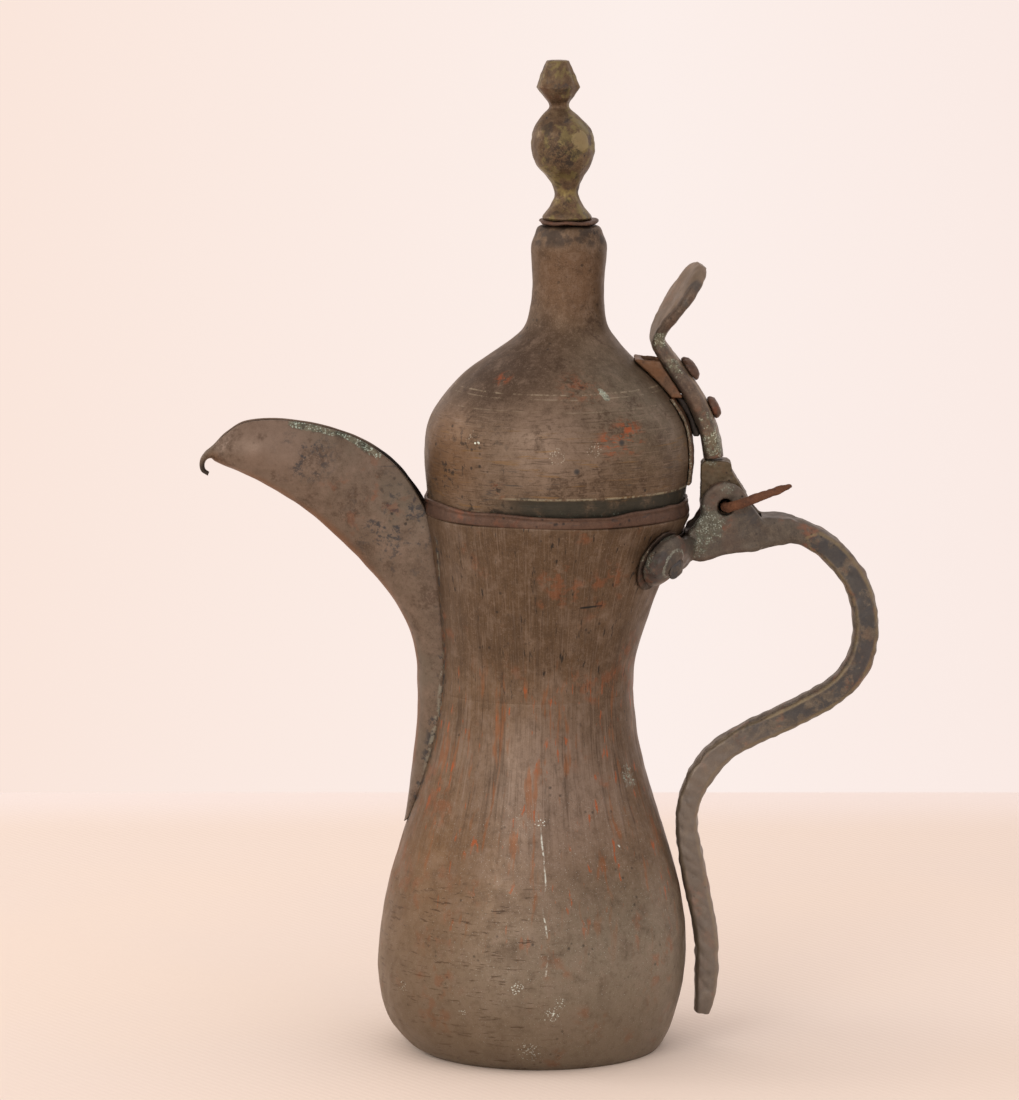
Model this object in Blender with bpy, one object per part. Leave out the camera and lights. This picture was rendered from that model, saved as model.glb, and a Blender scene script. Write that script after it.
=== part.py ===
"""Dallah coffee pot in hammered copper: two-piece waisted body, open crescent spout, cast S-shaped
handle that carries the hinge clevis, and a domed lid with a brass finial and a riveted thumb lever.

Metres, +Z up. The origin is the centre of the flat base. The spout points to -X, the handle to +X,
and the lid turns about the nail through the clevis, along Y.
"""
import bmesh
import bpy
import numpy as np
from math import cos, pi, radians, sin, sqrt

MM = 0.001
GAP = 0.3 * MM                # clearance that touching pieces keep
SIDES = 36                    # corners of a turned piece

# Copper sheet
BODY_SHEET = 1.3 * MM
LID_SHEET = 1.2 * MM
SPOUT_SHEET = 1.1 * MM

# Body outline: radius, height, lean of the centre towards the handle (mm)
SEAM_HEIGHT = 110 * MM        # the two halves of the body meet at the waist
LAP = 4 * MM                  # the upper half tucks this far into the lower one
LOWER_OUTLINE = ((36.6, 0.0, 0.0), (39.6, 2.8, -1.1), (43.9, 10.5, -2.5), (46.4, 22.0, -2.3),
                 (46.2, 36.0, -1.7), (43.9, 50.0, -1.5), (39.3, 67.0, -1.4), (35.2, 80.0, -1.2),
                 (31.5, 95.0, -1.2), (29.6, 110.0, -1.0))
UPPER_OUTLINE = ((29.6, 110.0, -1.0), (30.1, 121.0, -0.2), (33.1, 138.0, 1.9),
                 (37.0, 154.0, 4.0), (39.9, 163.5, 5.5))
BASE_RADIUS = 35.0 * MM
BASE_THICKNESS = 1.2 * MM

# Lid outline from its rim to the turned-in top of the neck: radius, height, lean (mm)
DOME_OUTLINE = ((38.3, 165.3, 5.5), (39.4, 173.0, 5.6), (40.0, 182.0, 5.7), (38.8, 191.0, 5.6),
                (35.0, 198.0, 5.6), (28.0, 205.9, 5.7), (21.2, 211.4, 6.3), (15.6, 216.4, 7.6),
                (12.4, 220.6, 8.2), (11.1, 227.0, 8.6), (10.9, 234.0, 8.9), (11.5, 242.0, 9.1),
                (11.3, 247.4, 9.1), (9.6, 250.2, 9.0), (6.2, 250.9, 8.9))
RIM_CENTRE = 5.5 * MM         # lean of the mouth and of everything round it
FLANGE_BOTTOM, FLANGE_TOP = 163.9 * MM, 169.2 * MM
FLANGE_RADIUS = 40.1 * MM
FLANGE_SHEET = 1.0 * MM
SLEEVE_RADIUS = 36.2 * MM
SLEEVE_BOTTOM, SLEEVE_TOP = 158.5 * MM, 168.0 * MM

# Finial: radius, height, lean (mm)
NECK_TOP = 250.9 * MM
COLLAR_RADIUS, COLLAR_THICKNESS = 8.9 * MM, 1.1 * MM
FINIAL_OUTLINE = ((7.2, 252.6, 8.4), (7.2, 253.6, 8.4), (4.6, 257.2, 8.3), (3.5, 260.6, 8.2),
                  (5.4, 265.0, 7.8), (8.3, 269.0, 7.4), (9.5, 274.4, 7.1), (8.5, 279.4, 6.8),
                  (5.6, 283.2, 6.4), (2.9, 286.4, 6.1), (4.4, 289.2, 5.8), (6.2, 292.2, 5.6),
                  (5.2, 296.2, 5.6), (3.5, 300.0, 5.6))
FINIAL_SIDES = 12
TANG_RADIUS = 2.2 * MM
TANG_BOTTOM = 247.0 * MM
BURR_RADIUS, BURR_THICKNESS = 5.0 * MM, 1.0 * MM

# Hinge
HINGE_X, HINGE_Z = 56.0 * MM, 166.5 * MM
EAR_RADIUS = 7.4 * MM
CLEVIS_HALF_WIDTH = 9.0 * MM
KNUCKLE_HALF_WIDTH = 5.2 * MM
KNUCKLE_RADIUS = 7.3 * MM
NAIL_RADIUS = 1.45 * MM
KNUCKLE_BORE = 2.1 * MM
EAR_BORE = 2.5 * MM
BORE_REACH = 20.0 * MM        # half length of the tools that cut the bores
NAIL_HEAD = ((1.7, 1.7), (2.5, 1.0), (2.6, 0.1))    # times the shank radius, mm beyond the ear
# Bent end of the nail: x, y, z, radius (mm)
NAIL_BEND = ((56.0, -9.0, 166.5, 1.45), (56.9, -11.5, 166.8, 1.5), (59.4, -12.9, 167.8, 1.5),
             (63.6, -13.4, 169.4, 1.45), (69.0, -13.5, 171.4, 1.35), (73.2, -13.4, 172.9, 1.15),
             (75.6, -13.3, 173.7, 0.45))

# Handle: saddle on the body, and the route of the S-shaped grip as x, z, half depth (mm)
SADDLE_HEIGHT = 152.0 * MM
SADDLE_RIVET_ANGLE = radians(32)
SADDLE_BEND = 41.0 * MM       # radius that the saddle is bent to
LOBE_RADIUS = 7.9 * MM
BRIDGE_HALF_HEIGHT = 5.6 * MM
SADDLE_THICKNESS = 5.6 * MM
SADDLE_CROWN = 2.8 * MM       # how much lower the saddle is along its edges
PAD_THICKNESS = 0.9 * MM
PAD_MARGIN, PAD_BRIDGE = 1.3 * MM, 6.4 * MM
SADDLE_SHANK = 2.2 * MM
SADDLE_RIVET_HEAD, SADDLE_RIVET_TAIL = (3.3 * MM, 1.6 * MM), (3.2 * MM, 1.1 * MM)
# Clevis block in front of the saddle, x, z (mm), up to where its two ears start
CLEVIS_FOOT = ((44.6, 151.2), (48.0, 149.6), (56.0, 152.0), (64.0, 153.0), (67.0, 153.2),
               (67.0, 162.6))
CLEVIS_BACK = ((46.6, 160.8), (44.6, 159.4))
CLEVIS_SLOT_FROM, CLEVIS_SLOT_TO, CLEVIS_SLOT_TOP = 40.0 * MM, 67.0 * MM, 180.0 * MM
# Neck from the clevis to the grip: x, half width, bottom, top (mm)
CLEVIS_NECK = ((60.0, 8.6, 152.8, 162.4), (66.0, 8.6, 153.2, 163.0), (71.0, 7.6, 154.0, 163.2),
               (76.0, 6.2, 154.8, 162.6), (81.0, 5.0, 153.9, 160.0))
NECK_CORNER = 1.6
GRIP_HALF_WIDTH = 4.9 * MM
GRIP_SIDES = 12
GRIP_ROUTE = ((66.0, 157.8, 3.6), (77.0, 158.6, 3.8), (89.2, 151.4, 3.9), (97.7, 138.4, 3.9),
              (98.6, 123.6, 4.0), (92.1, 111.3, 4.1), (76.8, 101.9, 4.0), (61.4, 94.8, 3.9),
              (50.0, 85.0, 3.9), (44.9, 70.0, 3.5), (47.6, 52.0, 3.9), (51.1, 33.0, 3.6),
              (50.9, 16.5, 3.4), (49.8, 9.6, 2.5))

# Thumb lever: x, z, width, thickness (mm) and twist (degrees) along its route from the knuckle
# to the tip. The twist brings the thumb plate's front edge outward.
LEVER_ROUTE = ((52.6, 180.6, 9.6, 6.0, 0), (51.6, 187.0, 11.6, 6.0, 0), (49.4, 193.4, 13.6, 6.0, 0),
               (46.4, 199.6, 14.0, 5.8, 0), (42.6, 205.4, 14.0, 5.4, 0), (38.6, 211.0, 13.6, 4.8, 0),
               (35.6, 216.4, 13.6, 4.2, 2.0), (37.4, 221.4, 18.0, 3.5, 6.0),
               (40.0, 225.4, 22.6, 3.4, 8.5), (42.8, 229.6, 25.0, 3.4, 8.5),
               (45.6, 233.8, 22.4, 3.4, 8.5), (47.8, 237.1, 15.0, 3.1, 8.5),
               (48.9, 238.7, 7.0, 2.4, 8.5))
LEVER_SECTION_SIDES = 12
KNUCKLE_SHOULDER = ((58.2, 176.8), (57.8, 179.0), (56.8, 179.9), (49.6, 179.9), (48.8, 178.6))
STRAP_SHANK = 2.0 * MM
STRAP_TAIL = (3.2 * MM, 1.2 * MM)
UPPER_RIVET, UPPER_HEAD, UPPER_GRIP = 205.2 * MM, (3.8 * MM, 2.1 * MM), 11.6 * MM
LOWER_RIVET, LOWER_HEAD, LOWER_GRIP = 193.8 * MM, (3.2 * MM, 1.9 * MM), 11.4 * MM

# Copper patch, folded bracket and packing block between the dome and the lever
PATCH_FOOT, PATCH_HALF_WIDTH, PATCH_THICKNESS = 173.0 * MM, 8.6 * MM, 0.8 * MM
BRACKET_HALF_WIDTH = 6.2 * MM
BRACKET_FOOT, BRACKET_TOP = 199.4 * MM, 210.6 * MM
SPACER_FOOT, SPACER_HALF_WIDTH = 187.6 * MM, 4.6 * MM

# Spout: keel x, z and edge x, z, half width (mm) and the share of it left at the edge. An edge
# whose x is None lies on the body wall.
SPOUT_STATIONS = (((-40.9, 69.0), (None, 70.0), 2.6, 1.0), ((-39.4, 78.6), (None, 79.0), 5.2, 1.0),
                  ((-37.9, 90.5), (None, 91.0), 7.4, 1.0), ((-36.9, 100.5), (None, 101.0), 8.6, 1.0),
                  ((-36.7, 110.3), (None, 111.0), 9.2, 1.0), ((-36.9, 119.0), (None, 121.0), 9.3, 1.0),
                  ((-38.8, 127.4), (None, 131.0), 9.2, 1.0), ((-42.9, 136.0), (None, 141.0), 9.0, 1.0),
                  ((-47.4, 142.3), (None, 150.0), 8.8, 1.0), ((-51.8, 147.1), (None, 158.0), 8.6, 1.0),
                  ((-56.2, 151.8), (-34.3, 165.0), 8.4, 0.86), ((-64.8, 159.9), (-38.9, 172.8), 8.4, 0.66),
                  ((-70.6, 164.6), (-44.9, 179.6), 8.6, 0.52), ((-78.2, 169.6), (-54.2, 185.9), 9.0, 0.42),
                  ((-86.0, 174.1), (-66.4, 190.0), 9.2, 0.36), ((-92.0, 177.0), (-79.0, 191.7), 9.0, 0.36),
                  ((-95.6, 178.5), (-88.6, 190.8), 7.4, 0.44), ((-97.6, 179.4), (-94.6, 187.2), 4.6, 0.66),
                  ((-98.6, 180.2), (-98.2, 183.4), 2.1, 1.0), ((-99.9, 179.9), (-100.3, 181.6), 1.5, 1.0),
                  ((-100.7, 178.6), (-101.6, 179.3), 1.3, 1.0), ((-100.5, 177.0), (-101.4, 176.6), 1.1, 1.0),
                  ((-99.3, 176.0), (-99.6, 175.2), 0.9, 1.0))
SPOUT_BULGE = 0.16            # how much the side walls belly out
SPOUT_ACROSS = 10             # faces across the sheet
SLOT_TOP_HALF, SLOT_TOP = 6.6 * MM, 175.0 * MM
SLOT_FOOT_HALF, SLOT_FOOT = 4.0 * MM, 122.0 * MM
SLOT_FROM, SLOT_TO = -60.0 * MM, -10.0 * MM


# ---------------------------------------------------------------- curves
def spline(points, count):
    """Catmull-Rom curve through the points, sampled evenly in its parameter."""
    points = np.asarray(points, dtype=float)
    padded = np.vstack((2 * points[0] - points[1], points, 2 * points[-1] - points[-2]))
    samples = []
    for t in np.linspace(0, len(points) - 1, count):
        i = min(int(t), len(points) - 2)
        u = t - i
        a, b, c, d = padded[i:i + 4]
        samples.append(0.5 * (2 * b + (c - a) * u + (2 * a - 5 * b + 4 * c - d) * u ** 2
                              + (3 * b - a - 3 * c + d) * u ** 3))
    return np.array(samples)


def wall_circle(height):
    """Centre x and outer radius of the body at a height."""
    outline = LOWER_OUTLINE if height < SEAM_HEIGHT else UPPER_OUTLINE
    curve = spline(outline, 200) * MM
    return float(np.interp(height, curve[:, 1], curve[:, 2])), \
        float(np.interp(height, curve[:, 1], curve[:, 0]))


def wall_edge(half_width, height, clearance):
    """x of the body's spout side at a distance from the middle plane."""
    centre, radius = wall_circle(height)
    return centre - sqrt((radius + clearance) ** 2 - half_width ** 2)


def arc(centre, radius, start, end, count):
    """Points of an arc in the XZ plane, angles in degrees from +X towards +Z."""
    return [(centre[0] + radius * cos(radians(a)), centre[1] + radius * sin(radians(a)))
            for a in np.linspace(start, end, count)]


# ---------------------------------------------------------------- meshes
def make_material(name, colour, roughness, metallic=1.0):
    material = bpy.data.materials.new(name)
    material.use_nodes = True
    shader = material.node_tree.nodes["Principled BSDF"]
    shader.inputs["Base Color"].default_value = (*colour, 1.0)
    shader.inputs["Roughness"].default_value = roughness
    shader.inputs["Metallic"].default_value = metallic
    material.diffuse_color = (*colour, 1.0)
    return material


def make_object(name, verts, faces, material):
    """A closed mesh object with its faces pointing out."""
    mesh = bpy.data.meshes.new(name)
    mesh.from_pydata([tuple(float(c) for c in v) for v in verts], [], faces)
    work = bmesh.new()
    work.from_mesh(mesh)
    bmesh.ops.recalc_face_normals(work, faces=work.faces)
    work.to_mesh(mesh)
    work.free()
    mesh.shade_smooth()
    mesh.set_sharp_from_angle(angle=radians(35))
    mesh.materials.append(material)
    obj = bpy.data.objects.new(name, mesh)
    bpy.context.collection.objects.link(obj)
    return obj


def loft(name, rings, material, closed=False):
    """Bridge rings of equal length. A closed loft joins its last ring to its first."""
    size = len(rings[0])
    verts = [point for ring in rings for point in ring]
    faces = []
    for i in range(len(rings) if closed else len(rings) - 1):
        a, b = i * size, (i + 1) % len(rings) * size
        for j in range(size):
            k = (j + 1) % size
            faces.append((a + j, a + k, b + k, b + j))
    if not closed:
        faces.append(tuple(range(size)))
        faces.append(tuple(range((len(rings) - 1) * size, len(rings) * size)))
    return make_object(name, verts, faces, material)


def circle(radius, height, centre_x, sides=SIDES):
    return [(centre_x + radius * cos(2 * pi * i / sides), radius * sin(2 * pi * i / sides), height)
            for i in range(sides)]


def turned_wall(name, outer, inner, material):
    """A closed wall between an outer and an inner outline of (radius, height, lean) rows."""
    rows = list(outer) + list(inner)[::-1]
    return loft(name, [circle(r, z, x) for r, z, x in rows], material, closed=True)


def offset_outline(outline, thickness):
    """The outline moved inward along its own normals in the radius-height plane."""
    slope = np.gradient(outline[:, :2], axis=0)
    slope /= np.linalg.norm(slope, axis=1)[:, None]
    moved = outline.copy()
    moved[:, 0] -= thickness * slope[:, 1]
    moved[:, 1] += thickness * slope[:, 0]
    return moved


def plate(name, outline, low, high, material):
    """An XZ outline extruded along Y from low to high."""
    rings = [[(x, y, z) for x, z in outline] for y in (low, high)]
    return loft(name, rings, material)


def rod(name, start, end, radius, material, sides=14):
    """A straight round bar between two points."""
    start, end = np.array(start), np.array(end)
    along = (end - start) / np.linalg.norm(end - start)
    side = np.cross(along, (0.0, 1.0, 0.0) if abs(along[1]) < 0.9 else (1.0, 0.0, 0.0))
    side /= np.linalg.norm(side)
    up = np.cross(along, side)
    turn = [2 * pi * i / sides for i in range(sides)]
    rings = [[p + radius * (cos(a) * side + sin(a) * up) for a in turn] for p in (start, end)]
    return loft(name, rings, material)


def helper(obj):
    """Mark an object as a Boolean tool, which is not a piece."""
    obj.display_type = "WIRE"
    obj.hide_render = True
    return obj


def combine(obj, tool, operation):
    modifier = obj.modifiers.new(f"{operation.lower()}_{tool.name}", "BOOLEAN")
    modifier.operation = operation
    modifier.solver = "EXACT"
    modifier.object = helper(tool)


def rivet(name, head, direction, grip, head_size, tail_size, shank, material, sides=14):
    """A rivet from the base of its domed head, along -direction, to its peened tail."""
    head_radius, head_height = head_size
    tail_radius, tail_height = tail_size
    rows = [(0.35 * head_radius, head_height), (0.75 * head_radius, 0.82 * head_height),
            (head_radius, 0.35 * head_height), (head_radius, 0.0), (shank, 0.0), (shank, -grip),
            (tail_radius, -grip), (0.85 * tail_radius, -grip - 0.7 * tail_height),
            (0.4 * tail_radius, -grip - tail_height)]
    head, along = np.array(head), np.array(direction) / np.linalg.norm(direction)
    side = np.cross(along, (0.0, 0.0, 1.0))
    side /= np.linalg.norm(side)
    up = np.cross(along, side)
    turn = [2 * pi * i / sides for i in range(sides)]
    rings = [[head + h * along + r * (cos(a) * side + sin(a) * up) for a in turn] for r, h in rows]
    return loft(name, rings, material)


# ---------------------------------------------------------------- body
def build_body(copper, patch_copper):
    lower = spline(LOWER_OUTLINE, 15) * MM
    inner = offset_outline(lower, BODY_SHEET)
    inner[-1, 1] = SEAM_HEIGHT
    turned_wall("body_lower", lower, inner, copper)

    upper = spline(UPPER_OUTLINE, 10) * MM
    inner_upper = offset_outline(upper, BODY_SHEET)
    inner_upper[-1, 1] = upper[-1, 1]
    upper[0, 1] += GAP
    lap_foot = SEAM_HEIGHT - LAP
    centre, radius = wall_circle(lap_foot)
    lap_outer = radius - BODY_SHEET * 1.05 - GAP
    neck_outer = inner[-1, 0] - GAP
    lap = [(lap_outer, lap_foot, centre), (neck_outer, upper[0, 1], upper[0, 2])]
    lap_inner = [(lap_outer - BODY_SHEET, lap_foot, centre),
                 (neck_outer - BODY_SHEET, upper[0, 1] + 0.5 * LAP, upper[0, 2])]
    body = turned_wall("body_upper", lap + list(upper), lap_inner + list(inner_upper[3:]), copper)

    slot = [(-SLOT_TOP_HALF, SLOT_TOP), (SLOT_TOP_HALF, SLOT_TOP), (SLOT_FOOT_HALF, SLOT_FOOT),
            (0.0, SLOT_FOOT - SLOT_FOOT_HALF), (-SLOT_FOOT_HALF, SLOT_FOOT)]
    rings = [[(x, y, z) for y, z in slot] for x in (SLOT_FROM, SLOT_TO)]
    combine(body, loft("slot_tool", rings, copper), "DIFFERENCE")

    rings = [circle(BASE_RADIUS, z, 0.0) for z in (0.0, BASE_THICKNESS)]
    loft("base_plate", rings, patch_copper)
    return body


def build_spout(copper):
    stations = []
    for keel, edge, half_width, share in SPOUT_STATIONS:
        edge_x, edge_z = edge
        if edge_x is None:
            edge_x = wall_edge(half_width * MM, edge_z * MM, GAP) / MM
        stations.append((*keel, edge_x, edge_z, half_width, share))
    rings = []
    for *lengths, share in spline(stations, 27):
        keel_x, keel_z, edge_x, edge_z, half_width = np.array(lengths) * MM
        depth_axis = np.array((edge_x - keel_x, 0.0, edge_z - keel_z))
        depth = np.linalg.norm(depth_axis)
        depth_axis /= depth
        bulge = SPOUT_BULGE * min(1.0, depth / (12 * MM))
        angles = np.linspace(-pi / 2, pi / 2, SPOUT_ACROSS + 1)
        reach = depth * (1 - np.cos(angles))
        across = half_width * np.sin(angles) * (1 + bulge * np.cos(angles) ** 2 * 2.0)
        across *= 1 - (1 - share) * (1 - np.cos(angles)) ** 2
        outer = np.column_stack((reach, across))
        slope = np.gradient(outer, axis=0)
        slope /= np.linalg.norm(slope, axis=1)[:, None]
        inward = np.column_stack((slope[:, 1], -slope[:, 0]))
        inward[0] = (0.0, 1.0)
        inward[-1] = (0.0, -1.0)
        sheet = min(SPOUT_SHEET, 0.55 * half_width)
        inner = outer + sheet * inward
        section = np.vstack((outer, inner[::-1]))
        keel = np.array((keel_x, 0.0, keel_z))
        rings.append([keel + r * depth_axis + np.array((0.0, y, 0.0)) for r, y in section])
    loft("spout", rings, copper)


# ---------------------------------------------------------------- handle
def saddle_ring(angle, inner_offset, outer_offset, half_height, crown):
    """Cross-section of the saddle at an angle round the body, from +X towards +Y."""
    rows = ((inner_offset, -1.0), (inner_offset, -0.5), (inner_offset, 0.0), (inner_offset, 0.5),
            (inner_offset, 1.0), (outer_offset - crown, 1.0), (outer_offset - 0.3 * crown, 0.72),
            (outer_offset, 0.3), (outer_offset, -0.3), (outer_offset - 0.3 * crown, -0.72),
            (outer_offset - crown, -1.0))
    ring = []
    for offset, level in rows:
        height = SADDLE_HEIGHT + level * half_height
        centre, radius = wall_circle(height)
        reach = radius + offset
        ring.append((centre + reach * cos(angle), reach * sin(angle), height))
    return ring


def saddle_half_height(angle, lobe_radius, bridge):
    """Half height of the saddle: a round lobe at each rivet, joined by a lower bridge."""
    distance = (abs(angle) - SADDLE_RIVET_ANGLE) * SADDLE_BEND
    lobe = sqrt(max(lobe_radius ** 2 - distance ** 2, 0.0))
    return max(lobe, bridge) if distance < 0 else lobe


def build_saddle(name, lobe_radius, bridge, inner_offset, outer_offset, crown, material):
    reach = SADDLE_RIVET_ANGLE + 0.985 * lobe_radius / SADDLE_BEND
    rings = []
    for angle in reach * np.sin(np.linspace(-pi / 2, pi / 2, 21)):
        half_height = saddle_half_height(angle, lobe_radius, bridge)
        rings.append(saddle_ring(angle, inner_offset, outer_offset, half_height, crown))
    return loft(name, rings, material)


def grip_rings():
    route = spline(GRIP_ROUTE, 36) * MM
    slope = np.gradient(route[:, :2], axis=0)
    slope /= np.linalg.norm(slope, axis=1)[:, None]
    rings = []
    for (x, z, half_depth), (along_x, along_z) in zip(route, slope):
        ring = []
        for i in range(GRIP_SIDES):
            a = 2 * pi * (i + 0.5) / GRIP_SIDES
            across = GRIP_HALF_WIDTH * np.sign(cos(a)) * abs(cos(a)) ** 0.6
            deep = half_depth * np.sign(sin(a)) * abs(sin(a)) ** 0.6
            ring.append((x - along_z * deep, across * min(1.0, half_depth / (3.2 * MM)),
                         z + along_x * deep))
        rings.append(ring)
    return rings


def neck_ring(x, half_width, bottom, top):
    """Upright section of the neck behind the clevis, with its corners cut off (mm)."""
    inner, low, high = half_width - NECK_CORNER, bottom + NECK_CORNER, top - NECK_CORNER
    corners = ((half_width, low), (half_width, high), (inner, top), (-inner, top), (-half_width, high),
               (-half_width, low), (-inner, bottom), (inner, bottom))
    return [(x * MM, y * MM, z * MM) for y, z in corners]


def build_handle(brass, patch_copper, body):
    pad_gap = GAP + PAD_THICKNESS
    build_saddle("handle_pad", LOBE_RADIUS + PAD_MARGIN, PAD_BRIDGE, GAP, pad_gap, 0.0, patch_copper)
    handle = build_saddle("handle", LOBE_RADIUS, BRIDGE_HALF_HEIGHT, pad_gap + GAP,
                          pad_gap + GAP + SADDLE_THICKNESS, SADDLE_CROWN, brass)

    eye = (HINGE_X, HINGE_Z)
    outline = [(x * MM, z * MM) for x, z in CLEVIS_FOOT]
    outline += arc(eye, EAR_RADIUS, 10, 196, 14) + [(x * MM, z * MM) for x, z in CLEVIS_BACK]
    clevis = plate("clevis_tool", outline, -CLEVIS_HALF_WIDTH, CLEVIS_HALF_WIDTH, brass)
    bevel = clevis.modifiers.new("edges", "BEVEL")
    bevel.width = 0.9 * MM
    bevel.segments = 2
    combine(handle, clevis, "UNION")
    rings = [neck_ring(*row) for row in CLEVIS_NECK]
    combine(handle, loft("clevis_neck_tool", rings, brass), "UNION")
    combine(handle, loft("grip_tool", grip_rings(), brass), "UNION")

    slot_floor = HINGE_Z - KNUCKLE_RADIUS - 1.0 * MM
    slot_half = KNUCKLE_HALF_WIDTH + GAP
    slot = [(CLEVIS_SLOT_FROM, slot_floor), (CLEVIS_SLOT_TO, slot_floor),
            (CLEVIS_SLOT_TO, CLEVIS_SLOT_TOP), (CLEVIS_SLOT_FROM, CLEVIS_SLOT_TOP)]
    combine(handle, plate("clevis_slot_tool", slot, -slot_half, slot_half, brass), "DIFFERENCE")
    combine(handle, rod("ear_bore_tool", (HINGE_X, -BORE_REACH, HINGE_Z), (HINGE_X, BORE_REACH, HINGE_Z),
                        EAR_BORE, brass), "DIFFERENCE")

    centre, radius = wall_circle(SADDLE_HEIGHT)
    _, radius_above = wall_circle(SADDLE_HEIGHT + MM)
    flare = (radius_above - radius) / MM
    pad = bpy.data.objects["handle_pad"]
    stack = pad_gap + GAP + SADDLE_THICKNESS
    for side, name in ((-1, "handle_rivet_near"), (1, "handle_rivet_far")):
        angle = side * SADDLE_RIVET_ANGLE
        wall = np.array((centre + radius * cos(angle), radius * sin(angle), SADDLE_HEIGHT))
        outward = np.array((cos(angle), sin(angle), -flare)) / sqrt(1 + flare ** 2)
        rivet(name, wall + (stack + GAP) * outward, outward, stack + BODY_SHEET + 3 * GAP,
              SADDLE_RIVET_HEAD, SADDLE_RIVET_TAIL, SADDLE_SHANK, brass)
        for target in (handle, pad, body):
            tool = rod(f"{name}_{target.name}_tool", wall - 10 * MM * outward, wall + 14 * MM * outward,
                       SADDLE_SHANK + GAP, brass)
            combine(target, tool, "DIFFERENCE")


def build_nail(rust):
    """A forged nail: head on the far side, tip bent round the near ear and up."""
    head_plane = CLEVIS_HALF_WIDTH + 0.6 * MM
    route = [(HINGE_X, head_plane, HINGE_Z, NAIL_RADIUS)]
    route += [(HINGE_X, -CLEVIS_HALF_WIDTH + 1 * MM, HINGE_Z, NAIL_RADIUS)]
    route = np.vstack((route, spline(NAIL_BEND, 14) * MM))
    slope = np.gradient(route[:, :3], axis=0)
    rings = []
    for (x, y, z, radius), along in zip(route, slope):
        along = along / np.linalg.norm(along)
        side = np.cross(along, (0.0, 0.0, 1.0))
        side /= np.linalg.norm(side)
        up = np.cross(side, along)
        rings.append([np.array((x, y, z)) + radius * (cos(a) * side + sin(a) * up)
                      for a in np.linspace(0, 2 * pi, 10, endpoint=False)])
    first = rings[0]
    head = [[(HINGE_X + (x - HINGE_X) * k, head_plane + d * MM, HINGE_Z + (z - HINGE_Z) * k)
             for x, _, z in first]
            for k, d in NAIL_HEAD]
    loft("hinge_nail", head + rings, rust)


# ---------------------------------------------------------------- lid
def build_lid(copper, patch_copper, brass):
    outer = spline(DOME_OUTLINE, 21) * MM
    dome = turned_wall("lid_dome", outer, offset_outline(outer, LID_SHEET), copper)

    band, ring = FLANGE_RADIUS - FLANGE_SHEET, SLEEVE_RADIUS + GAP
    rows = ((ring, FLANGE_BOTTOM), (FLANGE_RADIUS - 0.5 * MM, FLANGE_BOTTOM),
            (FLANGE_RADIUS, FLANGE_BOTTOM + 0.5 * MM), (FLANGE_RADIUS + 0.3 * MM, FLANGE_TOP - 1.2 * MM),
            (FLANGE_RADIUS, FLANGE_TOP), (band + 0.2 * MM, FLANGE_TOP - 0.2 * MM),
            (band + 0.1 * MM, FLANGE_BOTTOM + FLANGE_SHEET), (ring, FLANGE_BOTTOM + FLANGE_SHEET))
    loft("lid_flange", [circle(r, z, RIM_CENTRE) for r, z in rows], patch_copper, closed=True)
    inside = SLEEVE_RADIUS - FLANGE_SHEET
    rows = ((SLEEVE_RADIUS - 0.5 * MM, SLEEVE_BOTTOM), (SLEEVE_RADIUS, SLEEVE_BOTTOM + 2 * MM),
            (SLEEVE_RADIUS, SLEEVE_TOP), (inside, SLEEVE_TOP), (inside - 0.5 * MM, SLEEVE_BOTTOM))
    loft("lid_sleeve", [circle(r, z, RIM_CENTRE) for r, z in rows], patch_copper, closed=True)

    lean = DOME_OUTLINE[-1][2] * MM
    bore = TANG_RADIUS + GAP
    collar_bottom = NECK_TOP + GAP
    rows = ((bore, collar_bottom), (COLLAR_RADIUS, collar_bottom),
            (COLLAR_RADIUS - 0.3 * MM, collar_bottom + COLLAR_THICKNESS),
            (bore, collar_bottom + COLLAR_THICKNESS))
    loft("neck_collar", [circle(r, z, lean, 32) for r, z in rows], patch_copper, closed=True)
    burr_top = NECK_TOP - LID_SHEET - GAP
    rows = ((bore, burr_top), (bore, burr_top - BURR_THICKNESS), (BURR_RADIUS, burr_top - BURR_THICKNESS),
            (BURR_RADIUS, burr_top))
    loft("finial_burr", [circle(r, z, lean, 24) for r, z in rows], patch_copper, closed=True)

    peen_top = burr_top - BURR_THICKNESS - GAP
    rows = [(2.4 * MM, TANG_BOTTOM, lean), (3.4 * MM, TANG_BOTTOM + 0.6 * MM, lean),
            (3.4 * MM, peen_top, lean), (TANG_RADIUS, peen_top, lean),
            (TANG_RADIUS, FINIAL_OUTLINE[0][1] * MM, lean)]
    rows += [tuple(row) for row in spline(FINIAL_OUTLINE, 27) * MM]
    loft("finial", [circle(r, z, x, FINIAL_SIDES) for r, z, x in rows], brass)
    return dome


def dome_surface(clearance, low, high, count):
    """Points (x, z, radius there, centre there) up the handle side of the dome, moved outward."""
    outline = offset_outline(spline(DOME_OUTLINE, 160) * MM, -clearance)
    heights = np.linspace(low, high, count)
    rising = outline[:110]
    radii = np.interp(heights, rising[:, 1], rising[:, 0])
    centres = np.interp(heights, rising[:, 1], rising[:, 2])
    return [(c + r, z, r, c) for z, r, c in zip(heights, radii, centres)]


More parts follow.
